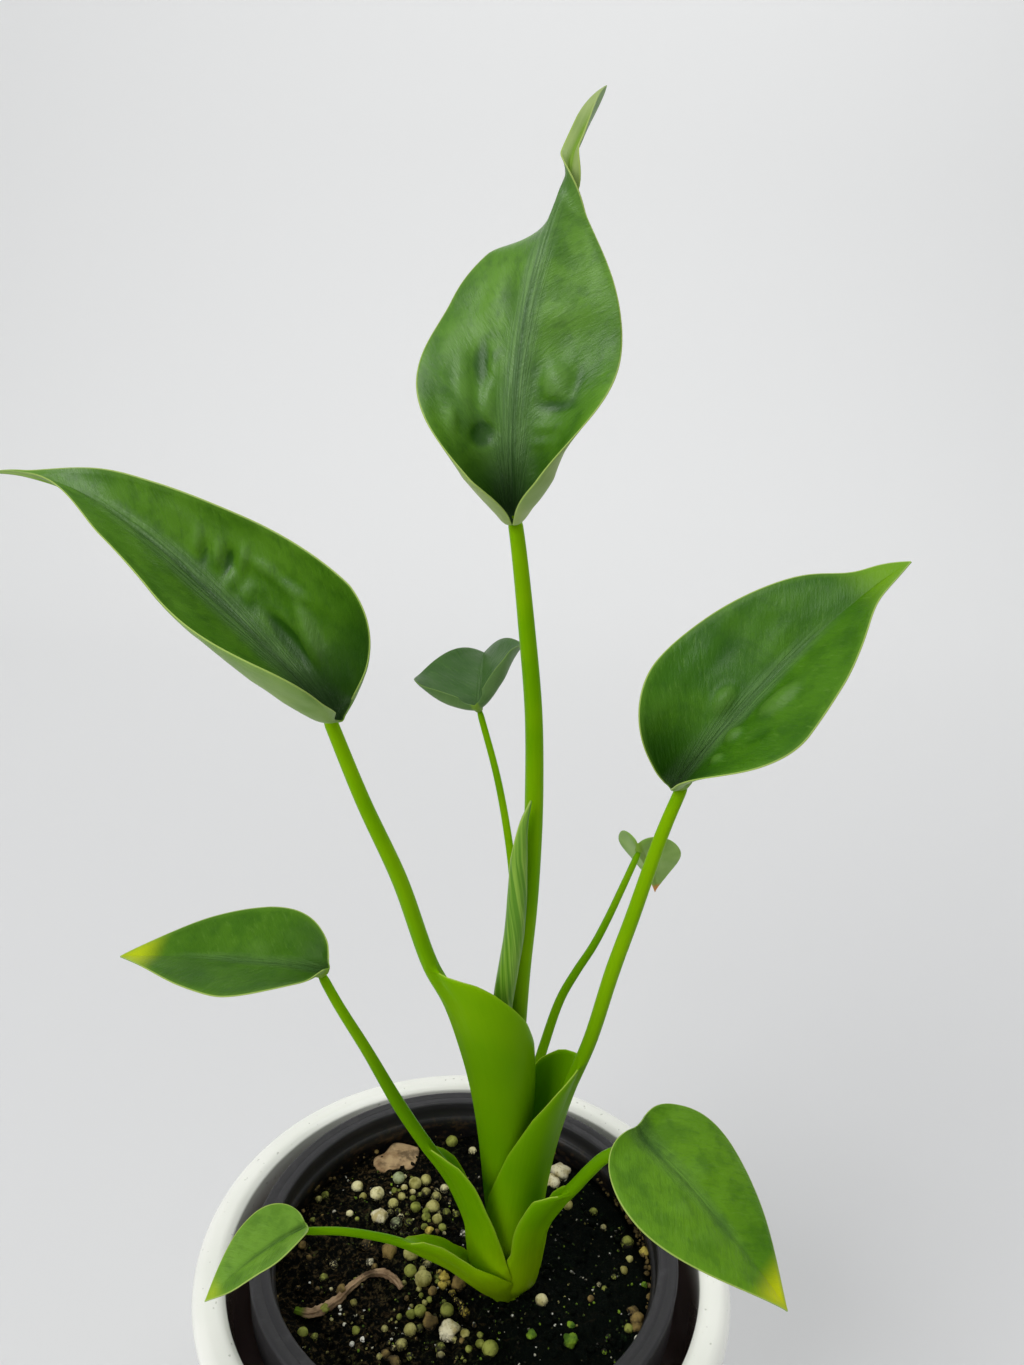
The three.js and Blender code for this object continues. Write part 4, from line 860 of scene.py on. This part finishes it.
def soil_surface(finish):
    """The crumbly top of the potting mix, closed below by a skirt and a flat base. The rings lie
    a little closer towards the rim."""
    rings, sectors = 150, 300
    turn = around(sectors)
    radii = SOIL["edge"] * (np.arange(1, rings + 1) / rings) ** 0.8
    x = radii[:, None] * np.cos(turn)
    y = radii[:, None] * np.sin(turn)
    flat = np.stack([x, y, np.zeros_like(x)], axis=-1)
    crumbs = (0.75 * np.abs(noise(flat, 3.1, 1)) + 0.45 * np.abs(noise(flat, 1.4, 2))
              + 0.3 * noise(flat, 0.8, 5))
    from_rim = ease((SOIL["edge"] - radii) / 3)[:, None]
    z = soil_height(x, y) + (crumbs - 0.4) * 1.3 * from_rim - 1.0 * (1 - from_rim)
    top = np.stack([x, y, z], axis=-1).reshape(-1, 3)
    under = SOIL["top"] - SOIL["skirt"]
    skirt_radius = SOIL["edge"] - 0.6
    skirt = np.column_stack([skirt_radius * np.cos(turn), skirt_radius * np.sin(turn),
                             np.full(sectors, under)])
    points = np.concatenate([top, skirt, [[0, 0, soil_height(0.0, 0.0)], [0, 0, under]]])
    faces = [*grid_faces(rings + 1, sectors, wrap=True, flip=True)]
    centre = (rings + 1) * sectors
    base = rings * sectors
    for k in range(sectors):
        following = (k + 1) % sectors
        faces.append((k, following, centre))
        faces.append((base + following, base + k, centre + 1))
    make_piece("potting_mix", points, faces, [finish], "potting_mix", ["soil"])


def ball(radius, x, y, z, seed, rough=0.06, squash=0.88, level=3):
    """Points and faces of a slightly uneven ball."""
    work = bmesh.new()
    bmesh.ops.create_icosphere(work, subdivisions=level, radius=1.0)
    points = np.array([v.co for v in work.verts])
    faces = [tuple(v.index for v in f.verts) for f in work.faces]
    work.free()
    uneven = 1 + rough * noise(points + seed * 7.3, 0.7, seed) + 0.5 * rough * noise(
        points + seed * 3.1, 0.3, seed + 1)
    points = points * uneven[:, None] * radius * np.array([1, 1, squash])
    return turned(points, seed * 1.7) + np.array([x, y, z]), faces


def joined(parts):
    """One list of points and faces from several."""
    points, faces, start = [], [], 0
    for some_points, some_faces in parts:
        points.append(some_points)
        faces += [tuple(i + start for i in face) for face in some_faces]
        start += len(some_points)
    return np.concatenate(points), faces


def grain_piece(name, kind, places, seed, sunk=0.45, **shape):
    """Balls of one kind, sunk into the soil by a share of their radius."""
    balls = [ball(r, x, y, float(soil_height(x, y)) + r * (1 - sunk) - 0.1, seed + k, **shape)
             for k, (x, y, r) in enumerate(places)]
    make_piece(name, *joined(balls), [grain_finish(name, kind)], "potting_mix", ["soil"])


def grains():
    """The large grains and the perlite, where the photo shows them."""
    for k, (kind, places) in enumerate(GRAINS.items()):
        rough = 0.35 if kind in ("brown", "algae", "yellow") else 0.08
        grain_piece("grains_" + kind, kind, places, 20 * k + 1, rough=rough)
    grain_piece("perlite_lumps", "perlite", PERLITE, 200, sunk=0.6, rough=0.3, squash=0.8)


def strewn(draw, middle, spread, radius, count):
    """Drawn places round a middle, as (x, y, radius), with their numbers."""
    for k in range(count):
        x, y = np.array(middle) + np.array(spread) * draw.uniform(-1, 1, 2)
        yield k, (x, y, draw.uniform(*radius))


def swarms():
    """Small grains that fill in between the large ones without touching them."""
    draw = np.random.default_rng(5)
    taken = [place for places in GRAINS.values() for place in places] + PERLITE
    kinds = ["tan", "olive", "olive", "brown", "cream"]
    found = {kind: [] for kind in kinds}
    for middle, spread, count in SWARMS:
        for k, (x, y, r) in strewn(draw, middle, spread, SWARM_RADIUS, count):
            free = all(math.hypot(x - a, y - b) > 0.8 * (r + c) for a, b, c in taken)
            if free and math.hypot(x, y) < SMALL_BITS_REACH:
                taken.append((x, y, r))
                found[kinds[k % len(kinds)]].append((x, y, r))
    for k, (kind, places) in enumerate(found.items()):
        grain_piece("small_grains_" + kind, kind, places, 500 + 60 * k, rough=0.16, level=2)


def specks():
    """Tiny white, green and tan bits all over the soil."""
    draw = np.random.default_rng(23)
    places = {"white": [], "algae": [], "tan": []}
    for k, (x, y, r) in strewn(draw, **SPECKS):
        if math.hypot(x, y) < SMALL_BITS_REACH:
            places[("white", "algae", "algae", "tan")[k % 4]].append((x, y, r))
    for kind, some in places.items():
        grain_piece("specks_" + kind, kind, some, 400, sunk=0.1, rough=0.5, level=1)


def rim_dirt():
    """Dried crumbs along the pot's wall, most of them on the right."""
    draw = np.random.default_rng(31)
    d = RIM_DIRT
    bits = []
    for k in range(d["count"]):
        turn = draw.normal(-0.2, 0.5) if k % 3 else draw.uniform(-math.pi, math.pi)
        reach = draw.uniform(*d["reach"])
        r = draw.uniform(*d["radius"])
        height = d["height"] + draw.uniform(*d["climb"]) * (reach > d["climbs_from"])
        bits.append(ball(r, reach * math.cos(turn), reach * math.sin(turn), height, 700 + k,
                         rough=0.5, level=1))
    make_piece("rim_dirt", *joined(bits), [grain_finish("rim_dirt", "brown")], "potting_mix",
               ["soil"])


def crumbs(finish):
    """Loose crumbs of peat over the soil."""
    draw = np.random.default_rng(11)
    made = []
    while len(made) < PEAT_CRUMBS["count"]:
        x, y = draw.uniform(-SMALL_BITS_REACH, SMALL_BITS_REACH, 2)
        if math.hypot(x, y) > PEAT_CRUMBS["reach"]:
            continue
        r = draw.uniform(*PEAT_CRUMBS["radius"])
        made.append(ball(r, x, y, float(soil_height(x, y)) + 0.35, len(made), rough=0.5,
                         squash=0.7, level=1))
    make_piece("peat_crumbs", *joined(made), [finish], "potting_mix", ["soil"])


def corm(finish):
    """The swollen stem that the stalks grow from, hidden under the soil."""
    c = CORM
    profile = [(0.01, c["bottom"]), (c["tip_radius"], c["bottom"]),
               (c["shoulder_radius"], c["shoulder_height"]), (c["top_radius"], c["top"]),
               (0.01, c["top"])]
    points, faces = revolved(finely(profile, 0.7), 64)
    bump = 0.25 * noise(points * np.array([1, 1, 3]), 2.5, 9)
    points = points + unit(points * np.array([1, 1, 0])) * bump[:, None]
    points += np.array([NEST["x"], NEST["y"], 0])
    make_piece("corm_body", points, faces, [finish], "corm", ["corm"])


def dry_stalk(finish):
    """A shed stalk base: a shrunken, ridged strip rolled lengthwise."""
    route = smooth_route([(x, y, DRY_STALK["height"]) for x, y in DRY_STALK["route"]], 14)
    side = unit(np.cross(unit(np.gradient(route, axis=0)), [0, 0, 1]))
    sides = SECTION_POINTS["dry_stalk"]
    turn = around(sides)
    gap = 0.45 * (np.abs(turn - math.pi / 2) < 0.45)
    rings = []
    for middle, across, share in zip(route, side, np.linspace(0, 1, len(route))):
        swelling = 0.8 + 0.2 * math.sin(share * 9)
        ends = 0.4 + 0.6 * math.sin(math.pi * min(1, 0.15 + share * 0.8))
        ridges = 1 + 0.16 * np.cos(5 * turn + 3 * share) - gap
        r = DRY_STALK["radius"] * swelling * ends * ridges
        rings.append(middle + np.outer(r * np.cos(turn), across)
                     + np.outer(0.8 * r * np.sin(turn), [0, 0, 1]))
    points = np.concatenate(rings)
    middles = np.repeat(route, sides, axis=0)
    points = points + (points - middles) * (0.22 * noise(points, 0.55, 4))[:, None]
    make_piece("dry_stalk", points, tube_faces(len(route), sides), [finish], "dry_plant",
               ["dry_stalk_scrap"])


def dry_scrap(finish):
    """A curled scrap of dead leaf."""
    s = DRY_SCRAP
    rows, columns = 26, 18
    u, v = np.meshgrid(np.linspace(-1, 1, rows), np.linspace(-1, 1, columns), indexing="ij")
    half = 0.5 * s["width"] * np.sqrt(np.maximum(0.03, 1 - u ** 2)) * (1 + 0.18 * np.sin(5 * u))
    curl = 0.55 * np.cos(1.4 * v) + 0.25 * np.sin(3 * u) * v
    layers = [np.stack([0.5 * s["length"] * u, half * v, curl + lift], axis=-1).reshape(-1, 3)
              for lift in (0.9, 0.3)]
    points = turned(np.concatenate(layers), math.radians(s["heading"]))
    points = points + np.array([*s["at"], s["height"] - 0.4])
    make_piece("dry_leaf", points, shell_faces(rows, columns), [finish], "dry_plant",
               ["dry_leaf_scrap"])


# Leaf blades

def half_width(leaf, t):
    """Half the blade's width at t, from 0 at its scooped base to 1 at its tip."""
    rounded = np.maximum(0, 1 - np.maximum(0, 1 - t / leaf["widest"]) ** leaf["roundness"])
    x = np.clip((t - leaf["widest"]) / (leaf["body_end"] - leaf["widest"]), 0, 1)
    body = np.where(t < leaf["widest"], rounded ** (1 / leaf["roundness"]),
                    np.maximum(0, 1 - x ** leaf["fullness"]) ** leaf["taper"])
    closing = np.clip((t - BLADE["tail_closes"]) / (1 - BLADE["tail_closes"]), 0, 1)
    tail = leaf["tail"] / 2 * ease(x) * (1 - closing ** 1.6)
    return np.hypot(leaf["width"] / 2 * body, tail)


def three_way(values, t):
    """Value at t from its base, middle and tip values."""
    base, middle, tip = values
    turning = BLADE["turning"]
    first = base + (middle - base) * ease(t / turning)
    second = middle + (tip - middle) * ease((t - turning) / (1 - turning))
    return np.where(t < turning, first, second)


def foot_axes(leaf):
    """Directions along, across and out of the blade where it meets its stalk."""
    az, el, roll = (math.radians(leaf[key]) for key in ("heading", "rise", "roll"))
    ahead = np.array([math.cos(el) * math.cos(az), math.cos(el) * math.sin(az), math.sin(el)])
    level = np.array([math.sin(az), -math.cos(az), 0])
    above = np.cross(level, ahead)
    up = above * math.cos(roll) + level * math.sin(roll)
    side = level * math.cos(roll) - above * math.sin(roll)
    return ahead, side, up


def axes_at(leaf, s):
    """Directions along, across and out of the blade at distances s from the foot."""
    foot_ahead, foot_side, foot_up = foot_axes(leaf)
    x = np.maximum(0, s / leaf["length"])
    pitch = np.radians(np.where(s >= 0, leaf["lift"] * x + leaf["hook"] * x ** 3,
                                leaf["scoop"] * s / leaf["behind"]))[:, None]
    yaw = np.radians(leaf["sway"] * x ** 2 + leaf["curve"] * x ** 4)[:, None]
    twisted = ease((x - leaf["twist_from"]) / (leaf["twist_to"] - leaf["twist_from"]))
    spin = np.radians(leaf["twist"] * twisted + leaf["turn"] * x)[:, None]
    level = foot_ahead * np.cos(yaw) + foot_side * np.sin(yaw)
    across = foot_side * np.cos(yaw) - foot_ahead * np.sin(yaw)
    ahead = level * np.cos(pitch) + foot_up * np.sin(pitch)
    above = foot_up * np.cos(pitch) - level * np.sin(pitch)
    side = across * np.cos(spin) - above * np.sin(spin)
    up = above * np.cos(spin) + across * np.sin(spin)
    return ahead, side, up


def midrib_points(leaf, s):
    """Places of the midrib at distances s from the foot."""
    steps = 24
    points = np.tile(np.array(leaf["foot"], float), (len(s), 1))
    for k in range(steps):
        ahead, _, _ = axes_at(leaf, s * (k + 0.5) / steps)
        points += ahead * (s / steps)[:, None]
    return points


def blade_surface(leaf, rows, columns):
    """The blade's middle surface as a grid of points, with the place of each point on the blade:
    distance from the midrib, distance from the foot, share of the length, distance from the edge.
    Rows lie closer at both ends, columns closer at the margins."""
    full_length = leaf["length"] + leaf["behind"]
    u = np.linspace(0, 1, rows)
    t = 0.003 + 0.994 * (0.5 * u + 0.25 * (1 - np.cos(math.pi * u)))
    s = full_length * t - leaf["behind"]
    middle = midrib_points(leaf, s)
    ahead, side, up = axes_at(leaf, np.maximum(0, s))
    waist = leaf["waist"] * np.exp(-((t - BLADE["waist"]) / BLADE["waist_spread"]) ** 2)
    reach = (half_width(leaf, t) - waist)[:, None]
    j = np.linspace(-1, 1, 2 * columns + 1)
    v = np.sign(j) * (0.82 * np.abs(j) + 0.18 * np.sin(np.abs(j) * math.pi / 2))
    drop = leaf["drop"] * ease((t - leaf["drop_from"]) / 0.1) * ease((0.8 - t) / 0.1)
    fold = np.radians(three_way(leaf["fold"], t)[:, None] - np.where(v < 0, drop[:, None], 0))
    curl = np.radians(three_way(leaf["curl"], t))[:, None]
    curl = np.where(np.abs(curl) < 1e-4, 1e-4, curl)
    out = reach * (np.sin(fold + curl * np.abs(v)) - np.sin(fold)) / curl
    rise = reach * (np.cos(fold) - np.cos(fold + curl * np.abs(v))) / curl
    width_share = np.minimum(1, np.abs(v) * reach / (leaf["width"] / 2))
    near_base = np.maximum(0, 1 - t / leaf["widest"])[:, None]
    back = leaf["lobe"] * np.sin(math.pi * width_share) * near_base
    grid = (middle[:, None] + side[:, None] * (np.sign(v) * out)[..., None]
            + up[:, None] * rise[..., None] - ahead[:, None] * back[..., None])
    across = v * reach
    end = np.minimum(t * full_length, (1 - t) * full_length)[:, None]
    edge = np.minimum(reach - np.abs(across), end + 0.15)
    along = np.broadcast_to(s[:, None], across.shape)
    share = np.broadcast_to(t[:, None], across.shape)
    return grid, across, along, share, edge


def blade_relief(leaf, across, along, share, edge):
    """How far the upper side stands out: swellings, hollows and a grooved midrib."""
    size = leaf["width"] / 40
    total = np.zeros(across.shape)
    for x, y, wide, long, height, lean in RIPPLES.get(leaf["name"], []):
        c, s = math.cos(math.radians(lean)), math.sin(math.radians(lean))
        a = ((across - x) * c + (along - y) * s) / wide
        b = ((along - y) * c - (across - x) * s) / long
        total += height * np.exp(-(a ** 2 + b ** 2) ** 1.4)
    flat = np.stack([across, along * 0.6, across * 0], axis=-1)
    total += 0.3 * size * noise(flat, 7 * size, 3) + 0.1 * size * noise(flat, 2.6, 6)
    groove = BLADE["groove_depth"] * np.exp(-(across / BLADE["groove_width"]) ** 2) * (1 - share)
    return total * ease(edge / (4 * size)) - groove


def blade(leaf, top, under):
    """A leaf's blade as a closed sheet with a keel along its midrib."""
    cut = LARGE_CUT if leaf["width"] > LARGE_WIDTH else SMALL_CUT
    grid, across, along, share, edge = blade_surface(leaf, *cut)
    normals = unit(np.cross(np.gradient(grid, axis=1), np.gradient(grid, axis=0)))
    relief = blade_relief(leaf, across, along, share, edge)
    # how deep each point lies, for the painted shade in hollows and painted light on swellings
    hollow = np.clip(-relief / 0.8, -1, 1).ravel()
    half = BLADE["edge"] + (BLADE["half"] - BLADE["edge"]) * np.minimum(1, edge / BLADE["bevel"])
    stalk_radius = leaf["girth"][-1][1]
    starting = ease((along + KEEL["start"]) / KEEL["start"])
    rib = stalk_radius * np.clip(1 - share, 0, 1) ** 0.8 * starting
    width = 1.1 * np.maximum(KEEL["least"], rib)
    keel = rib * np.sqrt(np.maximum(0, 1 - (across / width) ** 2))
    upper = grid + normals * (half + relief)[..., None]
    lower = grid + normals * (relief * 0.8 - half - keel)[..., None]
    points = np.concatenate([upper.reshape(-1, 3), lower.reshape(-1, 3)])
    place = np.stack([across, along, share], axis=-1).reshape(-1, 3)
    rows, columns = across.shape
    faces = shell_faces(rows, columns)
    quads = (rows - 1) * (columns - 1)
    indices = np.concatenate([np.zeros(quads), np.ones(len(faces) - quads)]).astype(int)
    make_piece(leaf["name"] + "_lamina", points, faces, [top, under], "leaf",
               [leaf["name"] + "_blade"], indices=indices,
               places={"place": np.tile(place, (2, 1)), "edge": np.tile(edge.ravel(), 2),
                       "hollow": np.tile(hollow, 2)})


# Stalks

def stalk(leaf, finish):
    """A round rod that widens below into a wrapped, thin-edged sheath. Each ring of points runs
    over the outside of the section and back along its inside."""
    _, _, up = foot_axes(leaf)
    girth, sheath = leaf["girth"], leaf["sheath"]
    end = np.array(leaf["foot"]) - up * 0.95 * girth[-1][1]
    end = end - unit(end - leaf["path"][-1]) * leaf["stalk_short"]
    route = evenly(smooth_route([*leaf["path"], tuple(end)]), 1.0)
    facing = np.array([math.cos(math.radians(leaf["facing"])),
                       math.sin(math.radians(leaf["facing"])), -0.7])
    j = np.linspace(-1, 1, SECTION_POINTS["stalk"])
    rings, places, edges = [], [], []
    for k, (middle, tangent) in enumerate(zip(route, upward_directions(route))):
        out = unit(facing - tangent * (facing @ tangent))
        side = np.cross(tangent, out)
        height = middle[2]
        rounded = 0.75 + 0.25 * min(1.0, (len(route) - 1 - k) / 1.5)
        radius = float(rows_at(girth, height)) * rounded
        wrap = float(rows_at(sheath, height)) if sheath else 12.0
        reach = [radius, radius]
        if sheath and height <= sheath[-1][0]:
            reach = [max(radius, math.radians(rows_at(sheath, height, column)) * wrap)
                     for column in (2, 3)]
        width = np.where(j < 0, reach[0], reach[1])
        x = 0.985 * width * np.sin(math.pi / 2 * j)
        inwards = ease((width - np.abs(x)) / SHEATH["thins_over"])
        thin = SHEATH["half"] * (SHEATH["margin_share"] + (1 - SHEATH["margin_share"]) * inwards)
        rod = np.sqrt(np.maximum(0, radius ** 2 - x ** 2))
        thick = np.where(width > radius + 1e-6, np.maximum(thin, rod), rod)
        edge = np.where(width > radius + 0.4, width - np.abs(x), 9.0)
        place = np.column_stack([x, np.full(len(x), height), thick])
        for distance, order in ((wrap + thick, 1), (wrap - thick, -1)):
            outwards = np.outer(distance * np.cos(x / wrap) - wrap, out)
            sideways = np.outer(distance * np.sin(x / wrap), side)
            rings.append((middle + outwards + sideways)[::order])
            places.append(place[::order])
            edges.append(edge[::order])
    count = 2 * len(j)
    faces = [*grid_faces(len(route), count, wrap=True)]
    last = (len(route) - 1) * count
    for k in range(len(j) - 1):
        mirror = count - 1 - k
        faces.append((k, mirror, mirror - 1, k + 1))
        faces.append((last + k, last + k + 1, last + mirror - 1, last + mirror))
    make_piece(leaf["name"] + "_petiole", np.concatenate(rings), faces, [finish], "stalk",
               [leaf["name"] + "_stalk"],
               places={"place": np.concatenate(places), "edge": np.concatenate(edges)})


def bud(finish):
    """The rolled leaf: its section winds like a scroll, and the seam runs round it."""
    route = evenly(smooth_route(BUD["path"]), 1.0)
    shares = np.linspace(0, 1, len(route))
    count = SECTION_POINTS["bud"]
    turn = np.arange(count) / count
    rings, places, edges = [], [], []
    for middle, tangent, share in zip(route, upward_directions(route), shares):
        out = unit(np.array([1, 0, 0]) - tangent * tangent[0])
        side = np.cross(tangent, out)
        radius = float(rows_at(BUD["girth"], middle[2]))
        angle = 2 * math.pi * (turn + BUD["seam_turns"] * share)
        r = radius * (1 - BUD["overlap"] * turn)
        rings.append(middle + np.outer(r * np.cos(angle), out) + np.outer(r * np.sin(angle), side))
        from_seam = 2 * math.pi * radius * turn
        places.append(np.column_stack([from_seam, np.full(count, middle[2]),
                                       np.full(count, share)]))
        edges.append(from_seam)
    make_piece("furled_leaf", np.concatenate(rings), tube_faces(len(route), count), [finish],
               "young_leaf", [BUD["name"]],
               places={"place": np.concatenate(places), "edge": np.concatenate(edges)})


# Stage

def add_area_light(name, place, aim, size, power):
    """A square lamp that looks from its place at its aim."""
    data = bpy.data.lights.new(name, "AREA")
    data.energy = power
    data.size = size
    light = bpy.data.objects.new(name, data)
    bpy.context.scene.collection.objects.link(light)
    light.location = place
    light.rotation_euler = (Vector(aim) - Vector(place)).to_track_quat("-Z", "Y").to_euler()


def stage():
    """A pale floor that bends up into a backdrop, and soft light."""
    finish = Finish("backdrop_paper")
    away = finish.parts(finish.place())[1]
    # painted shade: the floor darker towards the front
    finish.ground(finish.rising(away, 0.0, 1.3), (222, 222, 222), (246, 246, 245))
    b = BACKDROP
    bend_from = b["depth"] - b["bend"]
    profile = [(b["front"], 0.0), (bend_from, 0.0)]
    profile += [(bend_from + b["bend"] * math.sin(a), b["bend"] - b["bend"] * math.cos(a))
                for a in np.linspace(0.1, math.pi / 2, 16)]
    profile.append((b["depth"], b["height"]))
    points = [(x, y, z) for x in (-b["half_width"], b["half_width"]) for y, z in profile]
    faces = [(k, k + len(profile), k + len(profile) + 1, k + 1) for k in range(len(profile) - 1)]
    mesh = bpy.data.meshes.new("backdrop")
    mesh.from_pydata(points, [], faces)
    mesh.materials.append(finish.finished(roughness=0.9))
    mesh.shade_smooth()
    backdrop = bpy.data.objects.new("backdrop", mesh)
    bpy.context.scene.collection.objects.link(backdrop)

    world = bpy.data.worlds.new("studio")
    world.use_nodes = True
    sky = world.node_tree.nodes["Background"].inputs
    sky[0].default_value = SKY["colour"]
    sky[1].default_value = SKY["strength"]
    bpy.context.scene.world = world
    bpy.context.scene.view_settings.view_transform = "Standard"
    for name, lamp in LAMPS.items():
        add_area_light(name, *lamp)


def camera():
    """The photo's camera."""
    c = CAMERA
    pitch, yaw, roll = (math.radians(c[key]) for key in ("pitch_down", "yaw", "roll"))
    ahead = np.array([math.sin(yaw) * math.cos(pitch), math.cos(yaw) * math.cos(pitch),
                      -math.sin(pitch)])
    level = np.array([math.cos(yaw), -math.sin(yaw), 0])
    above = np.cross(level, ahead)
    right = math.cos(roll) * level + math.sin(roll) * above
    up = math.cos(roll) * above - math.sin(roll) * level
    data = bpy.data.cameras.new("photo_camera")
    data.sensor_width = c["sensor"]
    data.lens = c["focal_pixels"] * c["sensor"] / c["picture_height"]
    view = bpy.data.objects.new("photo_camera", data)
    turned_to = Matrix(np.column_stack([right, up, -ahead]).tolist()).to_4x4()
    view.matrix_world = Matrix.Translation([value * MM for value in c["place"]]) @ turned_to
    bpy.context.scene.collection.objects.link(view)
    bpy.context.scene.camera = view


def plant():
    """All leaves and stalks and the rolled leaf, in their greens."""
    white = (0.95, 1, 0.95)
    under = blade_under("leaf_underside", (140, 170, 88), (116, 150, 70))
    # painted light: a brighter copy of the underside for the tall leaf's shaded slivers
    bright_under = blade_under("leaf_underside_painted_light", (164, 184, 110), (140, 166, 90))
    back_under = blade_under("leaf_underside_back", (104, 138, 76), (84, 120, 58), margin=0.2)
    small_under = blade_under("leaf_underside_small", (156, 190, 100), (128, 168, 70),
                              tip=(206, 140, 60), margin=0.2)
    large = blade_top("leaf_green", (76, 126, 14), (94, 144, 28), (96, 140, 26), 4.2,
                      gloss=0.52, haze=white, lining=0.7, cup_shade=0.8)
    right = blade_top("leaf_green_right", (54, 104, 2), (72, 122, 10), (112, 160, 10), 3.6,
                      gloss=0.28, haze=white, lining=0.6, cup_shade=0.7)
    back = blade_top("leaf_green_back", (56, 94, 34), (68, 106, 44), (68, 106, 44), 1.5,
                     gloss=0.12, haze=white, cup_shade=0.5, margin=0.1)
    front = blade_top("leaf_green_front", (76, 126, 8), (94, 142, 18), (206, 214, 0), 3,
                      lining=0.25)
    low = blade_top("leaf_green_low", (58, 102, 8), (74, 120, 18), (190, 206, 20), 2, cup_shade=0.4)
    small = blade_top("leaf_green_light", (108, 152, 46), (122, 162, 60), (164, 190, 40), 1,
                      lining=0.2)
    looks = {"leaf_1_tall": (large, bright_under), "leaf_2_left": (large, under),
             "leaf_3_right": (right, under), "leaf_4_back": (back, back_under),
             "leaf_5_back_small": (back, small_under), "leaf_6_low_left": (low, under),
             "leaf_8_low_right": (front, under), "leaf_7_lowest": (small, under)}
    stalk_green = stalk_finish()
    for leaf in LEAVES:
        blade(leaf, *looks[leaf["name"]])
        stalk(leaf, stalk_green)
    bud(bud_finish())


camera()
stage()
white_pot(glaze_finish())
black_pot(black_plastic_finish())
peat = soil_finish()
soil_surface(peat)
crumbs(peat)
grains()
swarms()
specks()
rim_dirt()
corm(corm_finish())
dry_stalk(dry_finish("dry_stalk_skin", (172, 144, 112), (112, 88, 64)))
dry_scrap(dry_finish("dead_leaf_skin", (192, 164, 122), (142, 114, 80)))
plant()

bpy.context.view_layer.update()
